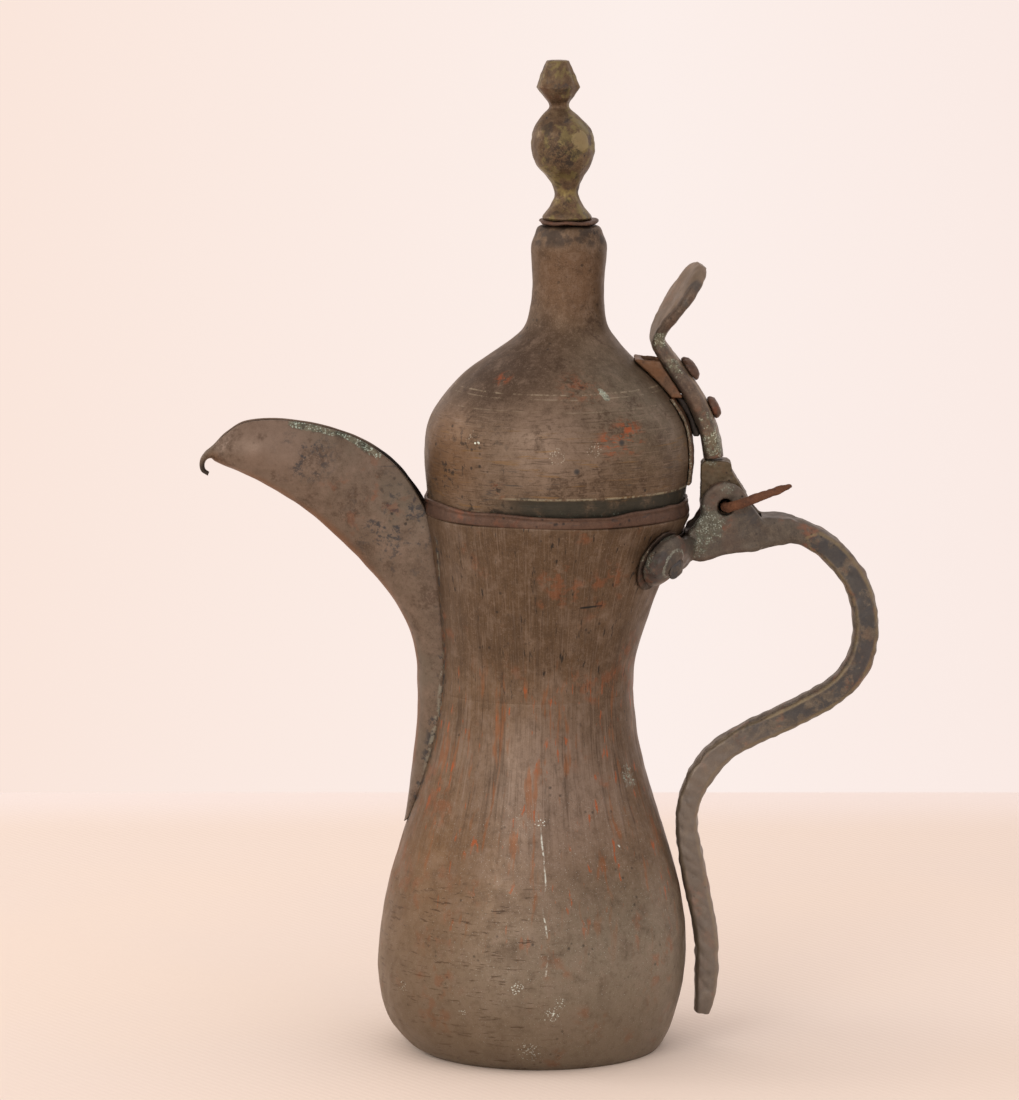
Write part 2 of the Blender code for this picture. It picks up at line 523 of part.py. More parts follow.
def patch_rings(low, high, count, half_width, inner, thickness):
    """Strip that follows the dome up its handle side."""
    rings = []
    near = dome_surface(inner, low, high, count)
    far = dome_surface(inner + thickness, low, high, count)
    steps = np.linspace(-1, 1, 9)
    for (_, z, r_in, c_in), (_, z_out, r_out, c_out) in zip(near, far):
        inside = [(c_in + sqrt(r_in ** 2 - (half_width * s) ** 2), half_width * s, z) for s in steps]
        outside = [(c_out + sqrt(r_out ** 2 - (half_width * s) ** 2), half_width * s, z_out)
                   for s in steps[::-1]]
        rings.append(inside + outside)
    return rings


def lever_frame(count):
    """Rows of centre x, z, width, thickness, outward normal x, z, and twist, up the lever."""
    route = spline(LEVER_ROUTE, count)
    twist = np.radians(route[:, 4])
    route = route[:, :4] * MM
    slope = np.gradient(route[:, :2], axis=0)
    slope /= np.linalg.norm(slope, axis=1)[:, None]
    return np.column_stack((route, slope[:, 1], -slope[:, 0], twist))


def lever_rings():
    rings = []
    for x, z, width, thick, normal_x, normal_z, twist in lever_frame(25):
        crown = 0.32 * max(0.0, (thick / MM - 3.4) / 2.6)
        ring = []
        for i in range(LEVER_SECTION_SIDES):
            a = 2 * pi * (i + 0.5) / LEVER_SECTION_SIDES
            across = 0.5 * width * np.sign(cos(a)) * abs(cos(a)) ** 0.55
            deep = 0.5 * thick * np.sign(sin(a)) * abs(sin(a)) ** 0.55
            if deep > 0:
                deep *= 1 - crown * (2 * across / width) ** 2
            out = deep * cos(twist) - across * sin(twist)
            side = across * cos(twist) + deep * sin(twist)
            ring.append((x + out * normal_x, side, z + out * normal_z))
        rings.append(ring)
    return rings


def lever_underside(low, high, count):
    """Points (x, z) on the dome side of the lever, a gap away from it, going up."""
    frame = lever_frame(97)
    depth = 0.5 * frame[:, 3] + GAP
    x = frame[:, 0] - depth * frame[:, 4]
    z = frame[:, 1] - depth * frame[:, 5]
    strap = slice(0, 52)
    heights = np.linspace(low, high, count)
    return [(float(np.interp(h, z[strap], x[strap])), float(h)) for h in heights]


def packing_outline(clearance, low, high, count):
    """XZ outline of the space between the dome, a clearance away from it, and the lever."""
    inner = [(x, z) for x, z, _, _ in dome_surface(clearance, low, high, count)]
    return inner + lever_underside(low, high - 0.6 * MM, count)[::-1]


def build_lever(brass, patch_copper, dark, dome):
    lever = loft("thumb_lever", lever_rings(), brass)

    eye = (HINGE_X, HINGE_Z)
    outline = arc(eye, KNUCKLE_RADIUS, 178, 400, 15)
    outline += [(x * MM, z * MM) for x, z in KNUCKLE_SHOULDER]
    knuckle = plate("hinge_knuckle", outline, -KNUCKLE_HALF_WIDTH, KNUCKLE_HALF_WIDTH, brass)
    combine(knuckle, rod("knuckle_bore_tool", (HINGE_X, -BORE_REACH, HINGE_Z),
                         (HINGE_X, BORE_REACH, HINGE_Z), KNUCKLE_BORE, brass), "DIFFERENCE")

    rings = patch_rings(PATCH_FOOT, BRACKET_FOOT - GAP, 9, PATCH_HALF_WIDTH, GAP, PATCH_THICKNESS)
    patch = loft("lid_patch", rings, patch_copper)
    outline = packing_outline(GAP, BRACKET_FOOT, BRACKET_TOP, 7)
    bracket = plate("lid_bracket", outline, -BRACKET_HALF_WIDTH, BRACKET_HALF_WIDTH, patch_copper)
    outline = packing_outline(GAP + PATCH_THICKNESS, BRACKET_FOOT - 3 * MM, BRACKET_TOP + 4 * MM, 9)
    inside = BRACKET_HALF_WIDTH - PATCH_THICKNESS
    combine(bracket, plate("bracket_hollow_tool", outline, -inside, inside, patch_copper), "DIFFERENCE")
    outline = packing_outline(2 * GAP + PATCH_THICKNESS, SPACER_FOOT, BRACKET_FOOT - GAP, 6)
    spacer = plate("strap_spacer", outline, -SPACER_HALF_WIDTH, SPACER_HALF_WIDTH, dark)

    frame = lever_frame(97)
    for name, height, head_size, grip, targets in (
            ("strap_rivet_upper", UPPER_RIVET, UPPER_HEAD, UPPER_GRIP, (lever, bracket, dome)),
            ("strap_rivet_lower", LOWER_RIVET, LOWER_HEAD, LOWER_GRIP, (lever, spacer, patch, dome))):
        x, z, _, thick, normal_x, normal_z, _ = frame[np.argmin(abs(frame[:52, 1] - height))]
        normal = np.array((normal_x, 0.0, normal_z))
        middle = np.array((x, 0.0, z))
        rivet(name, middle + (0.5 * thick + GAP) * normal, normal, grip, head_size,
              STRAP_TAIL, STRAP_SHANK, patch_copper)
        for target in targets:
            tool = rod(f"{name}_{target.name}_tool", middle + 12 * MM * normal, middle - 16 * MM * normal,
                       STRAP_SHANK + GAP, patch_copper)
            combine(target, tool, "DIFFERENCE")


def clear_scene():
    for obj in list(bpy.data.objects):
        bpy.data.objects.remove(obj, do_unlink=True)


def main():
    clear_scene()
    copper = make_material("patinated_copper", (0.16, 0.10, 0.07), 0.5)
    patch_copper = make_material("red_copper", (0.24, 0.12, 0.08), 0.45)
    brass = make_material("tarnished_brass", (0.20, 0.15, 0.08), 0.5)
    rust = make_material("rusty_iron", (0.22, 0.09, 0.05), 0.8, 0.4)
    body = build_body(copper, patch_copper)
    build_spout(copper)
    build_handle(brass, patch_copper, body)
    build_nail(rust)
    dome = build_lid(copper, patch_copper, brass)
    build_lever(brass, patch_copper, rust, dome)


main()
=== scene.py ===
"""Looks for the dallah coffee pot: patinated hammered copper, cast brass handle and finial, rusty nail.

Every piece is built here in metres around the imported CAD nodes. Turned and swept pieces are modelled
from their own outlines. Cast and riveted pieces are the CAD solids, remeshed and worn.
"""
from math import cos, pi, radians, sin, sqrt

import bmesh
import bpy
import numpy as np
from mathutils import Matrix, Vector


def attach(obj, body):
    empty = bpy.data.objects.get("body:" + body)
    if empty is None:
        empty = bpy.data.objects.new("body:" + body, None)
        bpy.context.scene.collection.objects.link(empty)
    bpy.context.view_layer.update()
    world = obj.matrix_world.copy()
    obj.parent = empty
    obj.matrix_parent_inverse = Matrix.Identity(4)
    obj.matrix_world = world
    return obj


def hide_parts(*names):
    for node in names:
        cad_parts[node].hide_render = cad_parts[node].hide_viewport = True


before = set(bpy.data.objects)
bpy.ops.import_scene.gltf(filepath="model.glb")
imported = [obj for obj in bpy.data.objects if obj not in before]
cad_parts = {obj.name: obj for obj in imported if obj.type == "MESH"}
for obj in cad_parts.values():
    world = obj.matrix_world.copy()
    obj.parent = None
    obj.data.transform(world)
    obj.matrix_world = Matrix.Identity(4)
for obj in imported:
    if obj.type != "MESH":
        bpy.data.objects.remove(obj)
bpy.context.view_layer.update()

MM = 0.001
WEAR_SEED = 3
EDGE_STEPS = 5                # rows round a sheet's edge
WAIST_RADIUS = 0.036          # arc lengths in the materials are those at this radius


# ---- curves and fields
def spline(points, count):
    """Catmull-Rom curve through the points, sampled evenly in its parameter."""
    points = np.asarray(points, dtype=float)
    padded = np.vstack((2 * points[0] - points[1], points, 2 * points[-1] - points[-2]))
    t = np.linspace(0, len(points) - 1, count)
    i = np.minimum(t.astype(int), len(points) - 2)
    u = (t - i)[:, None]
    a, b, c, d = (padded[i + k] for k in range(4))
    return 0.5 * (2 * b + (c - a) * u + (2 * a - 5 * b + 4 * c - d) * u ** 2
                  + (3 * b - a - 3 * c + d) * u ** 3)


def unit(vectors):
    return vectors / np.maximum(np.linalg.norm(vectors, axis=-1, keepdims=True), 1e-12)


def ripple(points, wavelength, seed, waves=26):
    """A smooth random field of about unit height over points, from a sum of plane waves."""
    draw = np.random.default_rng(seed)
    direction = unit(draw.normal(size=(waves, 3)))
    pitch = 2 * pi / wavelength * draw.uniform(0.65, 1.5, waves)
    phase = draw.uniform(0, 2 * pi, waves)
    field = np.zeros(points.shape[:-1])
    for axis, turn, start in zip(direction, pitch, phase):
        field += np.sin(points @ axis * turn + start)
    return field * sqrt(2 / waves)


def lumpy(points, seed, *lumps):
    """Height of an uneven surface over points, from lumps of wavelength and height in millimetres."""
    return sum(height * MM * ripple(points, wavelength * MM, seed + k)
               for k, (wavelength, height) in enumerate(lumps))


def in_metres(place):
    return tuple(length * MM for length in place)


def falloff(points, centre, radius):
    """1 at a centre, easing to 0 at a radius."""
    distance = np.linalg.norm(points - np.array(centre), axis=-1) / radius
    return np.clip(1 - distance, 0, 1) ** 2 * (1 + 2 * np.clip(distance, 0, 1))


# ---- meshes
def new_piece(name, points, faces, smooth=True):
    mesh = bpy.data.meshes.new(name)
    mesh.from_pydata(np.asarray(points).reshape(-1, 3).tolist(), [], faces)
    work = bmesh.new()
    work.from_mesh(mesh)
    bmesh.ops.recalc_face_normals(work, faces=work.faces)
    work.to_mesh(mesh)
    work.free()
    if smooth:
        mesh.shade_smooth()
    piece = bpy.data.objects.new(name, mesh)
    bpy.context.collection.objects.link(piece)
    return piece


def grid_faces(rows, columns, close_rows, cap):
    """Quads of a grid whose columns close on themselves."""
    i = np.arange(rows if close_rows else rows - 1)[:, None]
    j = np.arange(columns)[None, :]
    below, above = i * columns, (i + 1) % rows * columns
    right = (j + 1) % columns
    quads = np.stack((below + j, below + right, above + right, above + j), axis=-1)
    faces = quads.reshape(-1, 4).tolist()
    if cap and not close_rows:
        faces.append(list(range(columns)))
        faces.append(list(range((rows - 1) * columns, rows * columns)))
    return faces


def loft(name, rings, closed=False):
    """A closed skin over rings of points, an array of rows x columns x 3."""
    rings = np.asarray(rings)
    return new_piece(name, rings, grid_faces(rings.shape[0], rings.shape[1], closed, True))


def turned(rows, sides):
    """Rings of a turned shape from rows of radius, height and centre x."""
    radius, height, lean = (np.asarray(rows)[:, k:k + 1] for k in range(3))
    angle = np.linspace(0, 2 * pi, sides, endpoint=False)
    x = lean + radius * np.cos(angle)
    return np.stack((x, radius * np.sin(angle), np.broadcast_to(height, x.shape)), axis=-1)


def profile(rows, lean):
    """Rows of a turned shape from radii and heights in millimetres, all on one centre."""
    return np.array([(radius, height, lean) for radius, height in rows]) * MM


def outline_normals(outline):
    """Outward unit normals (radial, vertical) of an outline that runs upward."""
    slope = unit(np.gradient(outline[:, :2], axis=0))
    return np.column_stack((slope[:, 1], -slope[:, 0]))


def sheet_rows(outline, thickness):
    """Rows of a sheet wall: the outline, a rounded edge at each end, and the inner side."""
    normal = outline_normals(outline)
    half = 0.5 * thickness
    inner = outline.copy()
    inner[:, :2] -= thickness * normal
    edges = []
    for end, sign in ((-1, 1.0), (0, -1.0)):
        along = np.array((-normal[end, 1], normal[end, 0])) * sign
        middle = outline[end, :2] - half * normal[end]
        turns = np.linspace(sign * pi / 2, -sign * pi / 2, EDGE_STEPS + 2)[1:-1]
        edges.append([(*(middle + half * (sin(a) * normal[end] + cos(a) * along)), outline[end, 2])
                      for a in turns])
    return np.vstack((outline, edges[0], inner[::-2], edges[1]))


def worn_copy(name, node, voxel, smooth_steps, lumps, extra=None):
    """The CAD node's solid, remeshed finely, with softened edges and an uneven surface."""
    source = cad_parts[node]
    piece = bpy.data.objects.new(name, source.data.copy())
    bpy.context.collection.objects.link(piece)
    piece.data.materials.clear()
    remesh = piece.modifiers.new("remesh", "REMESH")
    remesh.mode = "VOXEL"
    remesh.voxel_size = voxel * MM
    soften = piece.modifiers.new("soften", "SMOOTH")
    soften.factor = 0.5
    soften.iterations = smooth_steps
    apply_modifiers(piece)
    shape_surface(piece, lambda p, n: lumpy(p, WEAR_SEED, *lumps) + (extra(p, n) if extra else 0.0))
    piece.data.shade_smooth()
    return piece


def apply_modifiers(piece):
    graph = bpy.context.evaluated_depsgraph_get()
    mesh = bpy.data.meshes.new_from_object(piece.evaluated_get(graph))
    piece.modifiers.clear()
    piece.data = mesh


def mesh_arrays(mesh):
    """Places and normals of a mesh's vertices."""
    arrays = []
    for key in ("co", "normal"):
        flat = np.empty(len(mesh.vertices) * 3)
        mesh.vertices.foreach_get(key, flat)
        arrays.append(flat.reshape(-1, 3))
    return arrays


def shape_surface(piece, height):
    """Move every vertex along its normal by height(points, normals)."""
    points, normals = mesh_arrays(piece.data)
    points = points + normals * np.reshape(height(points, normals), (-1, 1))
    piece.data.vertices.foreach_set("co", points.ravel())
    piece.data.update()


# ---- materials
def srgb(red, green, blue):
    """Linear colour of an 8-bit sRGB one."""
    def linear(c):
        c /= 255
        return c / 12.92 if c <= 0.04045 else ((c + 0.055) / 1.055) ** 2.4
    return (linear(red), linear(green), linear(blue), 1.0)


class Surface:
    """A material being wired up. Coordinates are the object's own, in metres."""

    def __init__(self, name):
        self.material = bpy.data.materials.new(name)
        self.material.use_nodes = True
        self.tree = self.material.node_tree
        self.shader = self.tree.nodes["Principled BSDF"]
        self.place = self.tree.nodes.new("ShaderNodeTexCoord").outputs["Object"]

    def wire(self, source, socket):
        if isinstance(source, bpy.types.NodeSocket):
            self.tree.links.new(source, socket)
        else:
            socket.default_value = source

    def add(self, kind, settings=(), **inputs):
        """A new node, with its settings made and its inputs wired by name."""
        node = self.tree.nodes.new("ShaderNode" + kind)
        for setting, value in settings:
            setattr(node, setting, value)
        for name, source in inputs.items():
            self.wire(source, node.inputs[name.replace("_", " ")])
        return node

    def noise(self, scale, detail=4.0, rough=0.55, warp=0.0, place=None):
        node = self.add("TexNoise", Vector=place or self.place, Scale=scale, Detail=detail, Roughness=rough,
                        Distortion=warp)
        return node.outputs["Fac"]

    def cloud(self, scale, low, high, detail=4, rough=0.7, warp=0.0):
        """Mask of the places where noise goes from low to high."""
        return self.step(self.noise(scale, detail, rough, warp), low, high)

    def dots(self, scale, core, edge):
        """Mask of scattered dots, one to a Voronoi cell."""
        node = self.add("TexVoronoi", Vector=self.place, Scale=scale)
        return self.step(node.outputs["Distance"], core, edge, 1.0, 0.0)

    def math(self, operation, a, b=0.0, clamp=False):
        node = self.add("Math", (("operation", operation), ("use_clamp", clamp)))
        self.wire(a, node.inputs[0])
        self.wire(b, node.inputs[1])
        return node.outputs[0]

    def step(self, value, low, high, floor=0.0, top=1.0):
        """Eases from floor to top as value goes from low to high."""
        node = self.add("MapRange", (("interpolation_type", "SMOOTHSTEP"),), Value=value, From_Min=low,
                        From_Max=high, To_Min=floor, To_Max=top)
        return node.outputs["Result"]

    def mix(self, amount, a, b, blend="MIX"):
        node = self.add("Mix", (("data_type", "RGBA"), ("blend_type", blend)), Factor=amount, A=a, B=b)
        return node.outputs["Result"]

    def axis(self, index):
        return self.add("SeparateXYZ", Vector=self.place).outputs[index]

    def band(self, index, low, high, floor=0.0, top=1.0):
        """Eases from floor to top along an axis."""
        return self.step(self.axis(index), low, high, floor, top)

    def gap(self, value, level):
        """How far a value is from a level."""
        return self.math("ABSOLUTE", self.math("SUBTRACT", value, level))

    def spot(self, x, y, z, reach, core=0.2):
        """1 inside core x reach of a point, easing to 0 at the reach, all in millimetres."""
        away = self.vector("DISTANCE", self.place, in_metres((x, y, z)), "Value")
        return self.step(away, core * reach * MM, reach * MM, 1.0, 0.0)

    def round_place(self, across, upright):
        """Coordinates round the Z axis: arc length and height, each times its own scale."""
        angle = self.math("ARCTAN2", self.axis(1), self.axis(0))
        node = self.add("CombineXYZ", X=self.times(angle, WAIST_RADIUS * across),
                        Y=self.times(self.axis(2), upright), Z=self.noise(40, 1))
        return node.outputs[0]

    def vector(self, operation, a, b, output="Vector"):
        node = self.add("VectorMath", (("operation", operation),))
        self.wire(a, node.inputs[0])
        self.wire(b, node.inputs[3 if operation == "SCALE" else 1])
        return node.outputs[output]

    def away(self, place, start, end):
        """Distance from a segment."""
        start, run = np.array(start), np.array(end) - np.array(start)
        offset = self.vector("SUBTRACT", place, tuple(start))
        along = self.vector("DOT_PRODUCT", offset, tuple(run / (run @ run)), "Value")
        foot = self.vector("SCALE", tuple(run), self.math("MULTIPLY", along, 1.0, True))
        return self.vector("DISTANCE", offset, foot, "Value")

    def wandering(self, wobble):
        """Coordinates shaken by noise."""
        node = self.add("TexNoise", Vector=self.place, Scale=120)
        shift = self.vector("SUBTRACT", node.outputs["Color"], (0.5, 0.5, 0.5))
        return self.vector("ADD", self.place, self.vector("SCALE", shift, wobble))

    def path(self, points, width, wobble=0.0):
        """1 along a path, easing to 0 at a width from it."""
        place = self.wandering(wobble) if wobble else self.place
        gaps = [self.away(place, a, b) for a, b in zip(points, points[1:])]
        nearest = gaps[0]
        for gap in gaps[1:]:
            nearest = self.math("MINIMUM", nearest, gap)
        return self.step(nearest, 0.3 * width, width, 1.0, 0.0)

    def most(self, values):
        """The greatest of several values."""
        total = values[0]
        for value in values[1:]:
            total = self.math("MAXIMUM", total, value)
        return total

    def times(self, *values):
        total = values[0]
        for value in values[1:]:
            total = self.math("MULTIPLY", total, value)
        return total

    def bump(self, height, distance, strength=1.0, **under):
        node = self.add("Bump", Strength=strength, Distance=distance, Height=height, **under)
        return node.outputs["Normal"]

    def finish(self, colour, roughness, normal, metallic=0.9):
        for name, source in (("Base Color", colour), ("Roughness", roughness), ("Normal", normal),
                             ("Metallic", metallic)):
            self.wire(source, self.shader.inputs[name])
        return self.material


VERDIGRIS = srgb(118, 122, 102)
POWDER = srgb(184, 184, 168)
ORANGE = srgb(158, 82, 44)
SOOT_AND_SHADE = srgb(44, 38, 34)
BARE = srgb(226, 216, 202)


class Metal(Surface):
    """A tarnished metal whose colour and height are painted in layers."""

    def __init__(self, name, tone):
        super().__init__(name)
        self.colour = tone
        self.height = 0.5

    def paint(self, mask, tone, amount=1.0, rise=0.0):
        """Lay a tone where the mask, or the product of several, is 1."""
        if isinstance(mask, tuple):
            mask = self.times(*mask)
        mask = self.times(mask, amount) if amount != 1.0 else mask
        self.colour = self.mix(mask, self.colour, tone)
        if rise:
            self.height = self.math("ADD", self.height, self.times(mask, rise))

    def patches(self, *rows):
        """Soft patches from rows of x, y, z and reach in millimetres, core, tone and amount."""
        for x, y, z, reach, core, tone, amount in rows:
            self.paint(self.spot(x, y, z, reach, core), tone, amount)

    def grain(self, dark, light, strength=1.0):
        """Cloudy mottling, then grain a fraction of a millimetre across."""
        for scale, depth in ((60, 0.30), (210, 0.34), (620, 0.26)):
            cloud = self.noise(scale, 4, 0.65, 0.2)
            self.paint(self.step(cloud, 0.50, 0.72), light, depth * strength)
            self.paint(self.step(cloud, 0.50, 0.28), dark, depth * strength)
        speck = self.noise(2300, 2, 0.8)
        self.paint(self.step(speck, 0.54, 0.76), light, 0.42 * strength)
        self.paint(self.step(speck, 0.46, 0.25), dark, 0.42 * strength)

    def streaks(self, across, upright, low, high, tone, amount, where=None, rise=0.0, rough=0.6):
        line = self.noise(1.0, 3, rough, 0.25, self.round_place(across, upright))
        mask = self.step(line, low, high)
        if where is not None:
            mask = self.times(mask, where)
        self.paint(mask, tone, amount, rise)

    def pits(self, scale, low, high, amount, where=None, tone=SOOT_AND_SHADE):
        mask = self.times(self.dots(scale, 0.10, 0.26),
                          self.step(self.noise(0.2 * scale, 3, 0.6), low, high))
        if where is not None:
            mask = self.times(mask, where)
        self.paint(mask, tone, amount, -0.4)

    def crust(self, where, tone=VERDIGRIS, amount=0.9, scale=700, cover=0.5):
        """A broken powdery deposit; cover is how much of the place it fills."""
        broken = self.noise(scale, 5, 0.75, 0.3)
        edge = self.math("SUBTRACT", 1.0, self.times(where, cover))
        mask = self.step(self.math("SUBTRACT", broken, self.times(edge, 0.5)), 0.12, 0.24)
        mask = self.times(mask, self.step(where, 0.02, 0.3))
        self.paint(mask, tone, 0.4 * amount)
        clumps = self.cloud(650, 0.44, 0.56, 4, 0.8)
        self.paint((mask, clumps, self.dots(1700, 0.34, 0.50)), POWDER, amount, 0.25)
        self.paint((mask, self.cloud(500, 0.48, 0.40, 4, 0.8)), SOOT_AND_SHADE, 0.55 * amount)

    def chips(self, places, tone=BARE, amount=0.9):
        """Short bright nicks round places of x, y, z and reach in millimetres, on a turned surface."""
        draw = np.random.default_rng(7)
        strokes = []
        for x, y, z, reach in places:
            middle = np.array((x, y, z)) * MM
            around = unit(np.array((-y, x, 0.0)))
            up = np.array((0.0, 0.0, 1.0))
            for _ in range(2 if reach > 1.4 else 1):
                a, b, c, d = draw.uniform(-1, 1, 4) * reach * MM
                start = middle + 0.8 * (a * around + b * up)
                strokes.append(self.path((start, start + 0.5 * (c * around + abs(d) * up)), 0.45 * MM))
        self.paint((self.most(strokes), self.cloud(1400, 0.40, 0.50, 3)), tone, amount)

    def dust(self, places, tone=BARE, amount=0.8):
        """Clusters of fine pale specks at places of x, y, z and reach in millimetres."""
        near = self.most([self.spot(x, y, z, reach) for x, y, z, reach in places])
        ragged = self.step(self.times(near, self.noise(330, 4, 0.7)), 0.30, 0.42)
        self.paint((ragged, self.dots(1500, 0.22, 0.36)), tone, amount)

    def deepen(self, power, middle):
        """More contrast between dark and pale about a middle tone."""
        node = self.add("Gamma", Color=self.colour, Gamma=power)
        lift = tuple(channel ** (1 - power) for channel in middle[:3]) + (1.0,)
        self.colour = self.mix(1.0, node.outputs["Color"], lift, "MULTIPLY")

    def done(self, rough=0.5, metallic=0.6, relief=0.35, cast=(1.0, 1.0, 1.0)):
        """Wire it up; cast is the tint that the whole surface takes."""
        self.colour = self.mix(1.0, self.colour, (*cast, 1.0), "MULTIPLY")
        wear = self.noise(160, 4, 0.6)
        roughness = self.step(wear, 0.3, 0.7, rough - 0.07, rough + 0.09)
        lumps = self.times(self.noise(180, 5, 0.62), 0.6)
        normal = self.bump(self.math("ADD", self.height, lumps), 0.4 * MM, relief)
        normal = self.bump(self.noise(1500, 4, 0.75), 0.1 * MM, 0.5 * relief, Normal=normal)
        return self.finish(self.colour, roughness, normal, metallic)


WARM = srgb(112, 84, 62)
UMBER = srgb(78, 57, 43)
PINKISH = srgb(142, 116, 101)
GREYED = srgb(112, 98, 84)
SLATE = srgb(66, 62, 62)


def seam_place(s, width):
    """Mask along both joints between the spout and the body."""
    route = ((-30.6, 13.9, 158), (-28.6, 10.4, 136), (-28.6, 9.6, 118), (-30.2, 9.2, 104),
             (-33.4, 8.2, 90), (-37.2, 6, 77), (-41, 1.6, 66))
    return s.most([s.path([in_metres((x, side * y, z)) for x, y, z in route], width, 1.5 * MM)
                   for side in (-1, 1)])


def body_material():
    s = Metal("copper_body", WARM)
    height = s.axis(2)
    waist = s.times(s.step(height, 0.052, 0.085), s.step(height, 0.122, 0.104))
    upper = s.step(height, 0.100, 0.122)
    # Painted highlight: the first two pink rows are the pale sheen down the front of the waist and of the
    # belly.
    s.patches((4, -36, 85, 42, 0.1, PINKISH, 0.75),
              (-8, -45, 45, 36, 0.1, PINKISH, 0.35),
              (32, -38, 22, 52, 0.2, GREYED, 0.8),
              (-44, -18, 45, 55, 0.2, srgb(124, 88, 58), 0.7),
              (24, -26, 105, 30, 0.1, UMBER, 0.35))
    s.paint(s.step(height, 0.075, 0.020), srgb(140, 119, 102), 0.75)
    s.paint(s.step(height, 0.112, 0.125), UMBER, 0.32)
    s.grain(UMBER, PINKISH, 1.0)
    drawn = s.step(height, 0.045, 0.100, 0.12, 0.8)
    s.streaks(2600, 90, 0.50, 0.72, PINKISH, 0.45, drawn)
    s.streaks(2600, 110, 0.50, 0.30, UMBER, 0.45, drawn)
    s.streaks(520, 26, 0.52, 0.68, UMBER, 0.5, s.most([waist, s.times(upper, 0.6)]))
    s.streaks(430, 24, 0.54, 0.68, PINKISH, 0.4, waist)
    warm_belt = s.times(s.step(height, 0.028, 0.06), s.step(height, 0.126, 0.11))
    s.streaks(330, 52, 0.58, 0.68, srgb(138, 84, 50), 0.55, warm_belt)
    s.streaks(520, 120, 0.63, 0.70, ORANGE, 0.75, warm_belt)
    s.streaks(950, 190, 0.63, 0.70, SOOT_AND_SHADE, 0.75, s.most([upper, s.times(waist, 0.35)]), -0.2)
    dashes = s.times(s.step(height, 0.065, 0.050), s.band(0, 0.012, -0.006))
    s.streaks(240, 1300, 0.58, 0.68, UMBER, 0.75, dashes, -0.2)
    s.streaks(130, 2600, 0.60, 0.72, PINKISH, 0.3, s.step(height, 0.08, 0.05))
    s.paint((s.cloud(48, 0.56, 0.66, 3, 0.6), s.cloud(260, 0.46, 0.6, 4, 0.6)),
            srgb(142, 82, 52), 0.4)
    s.pits(420, 0.56, 0.64, 0.5)
    s.pits(900, 0.58, 0.68, 0.6, tone=PINKISH)
    s.dust(((4, -45.5, 19, 4.6), (6.5, -45.7, 22.5, 3.4), (-6.5, -46.4, 27, 4), (-41, -26, 23, 4),
            (-45.7, -10, 12, 4), (-23, -41.1, 19, 2.4), (0.5, -37, 75.5, 3.6), (-3, -43, 6.5, 7)),
           amount=0.6)
    s.chips(((5, -37.7, 70.5, 1), (24.5, -29.7, 66.5, 1), (8.5, -34, 88.5, 1.2), (2.5, -45.7, 17.5, 2)))
    s.paint((s.cloud(3000, 0.66, 0.72, 2), s.step(height, 0.10, 0.07)), BARE, 0.4)
    line = ((0.5, -37, 74), (1.5, -40, 63), (2, -42, 57), (1, -43.5, 52), (3, -45.7, 39),
            (2.0, -46.3, 31.0))
    points = [in_metres(point) for point in line]
    scratch = s.path(points, 0.38 * MM, 0.8 * MM)
    s.paint((scratch, s.cloud(700, 0.40, 0.56)), BARE, 0.5)
    s.paint(s.path(((0.0125, -0.032, 0.1395), (0.0185, -0.029, 0.140)), 0.5 * MM), SOOT_AND_SHADE, 0.95, -0.6)
    s.crust(s.spot(27.5, -18.2, 86, 6, 0.1), srgb(150, 140, 128), 0.6, 800, 0.55)
    seam = seam_place(s, 2.4 * MM)
    s.paint((seam, s.cloud(330, 0.5, 0.6)), SLATE, 0.85, -0.2)
    s.paint((seam_place(s, 0.9 * MM), s.cloud(500, 0.45, 0.6)), srgb(150, 138, 122), 0.6)
    s.paint((s.band(0, -0.008, -0.042), s.step(height, 0.105, 0.070)), srgb(106, 74, 46), 0.34)
    # Painted shade: the belly is darker towards its foot, where its lower curve reflects the floor.
    s.paint(s.step(height, 0.040, 0.008), srgb(112, 88, 70), 0.42)
    s.deepen(1.28, srgb(118, 94, 76))
    return s.done(0.5, 0.6, cast=(0.90, 1.07, 1.09))


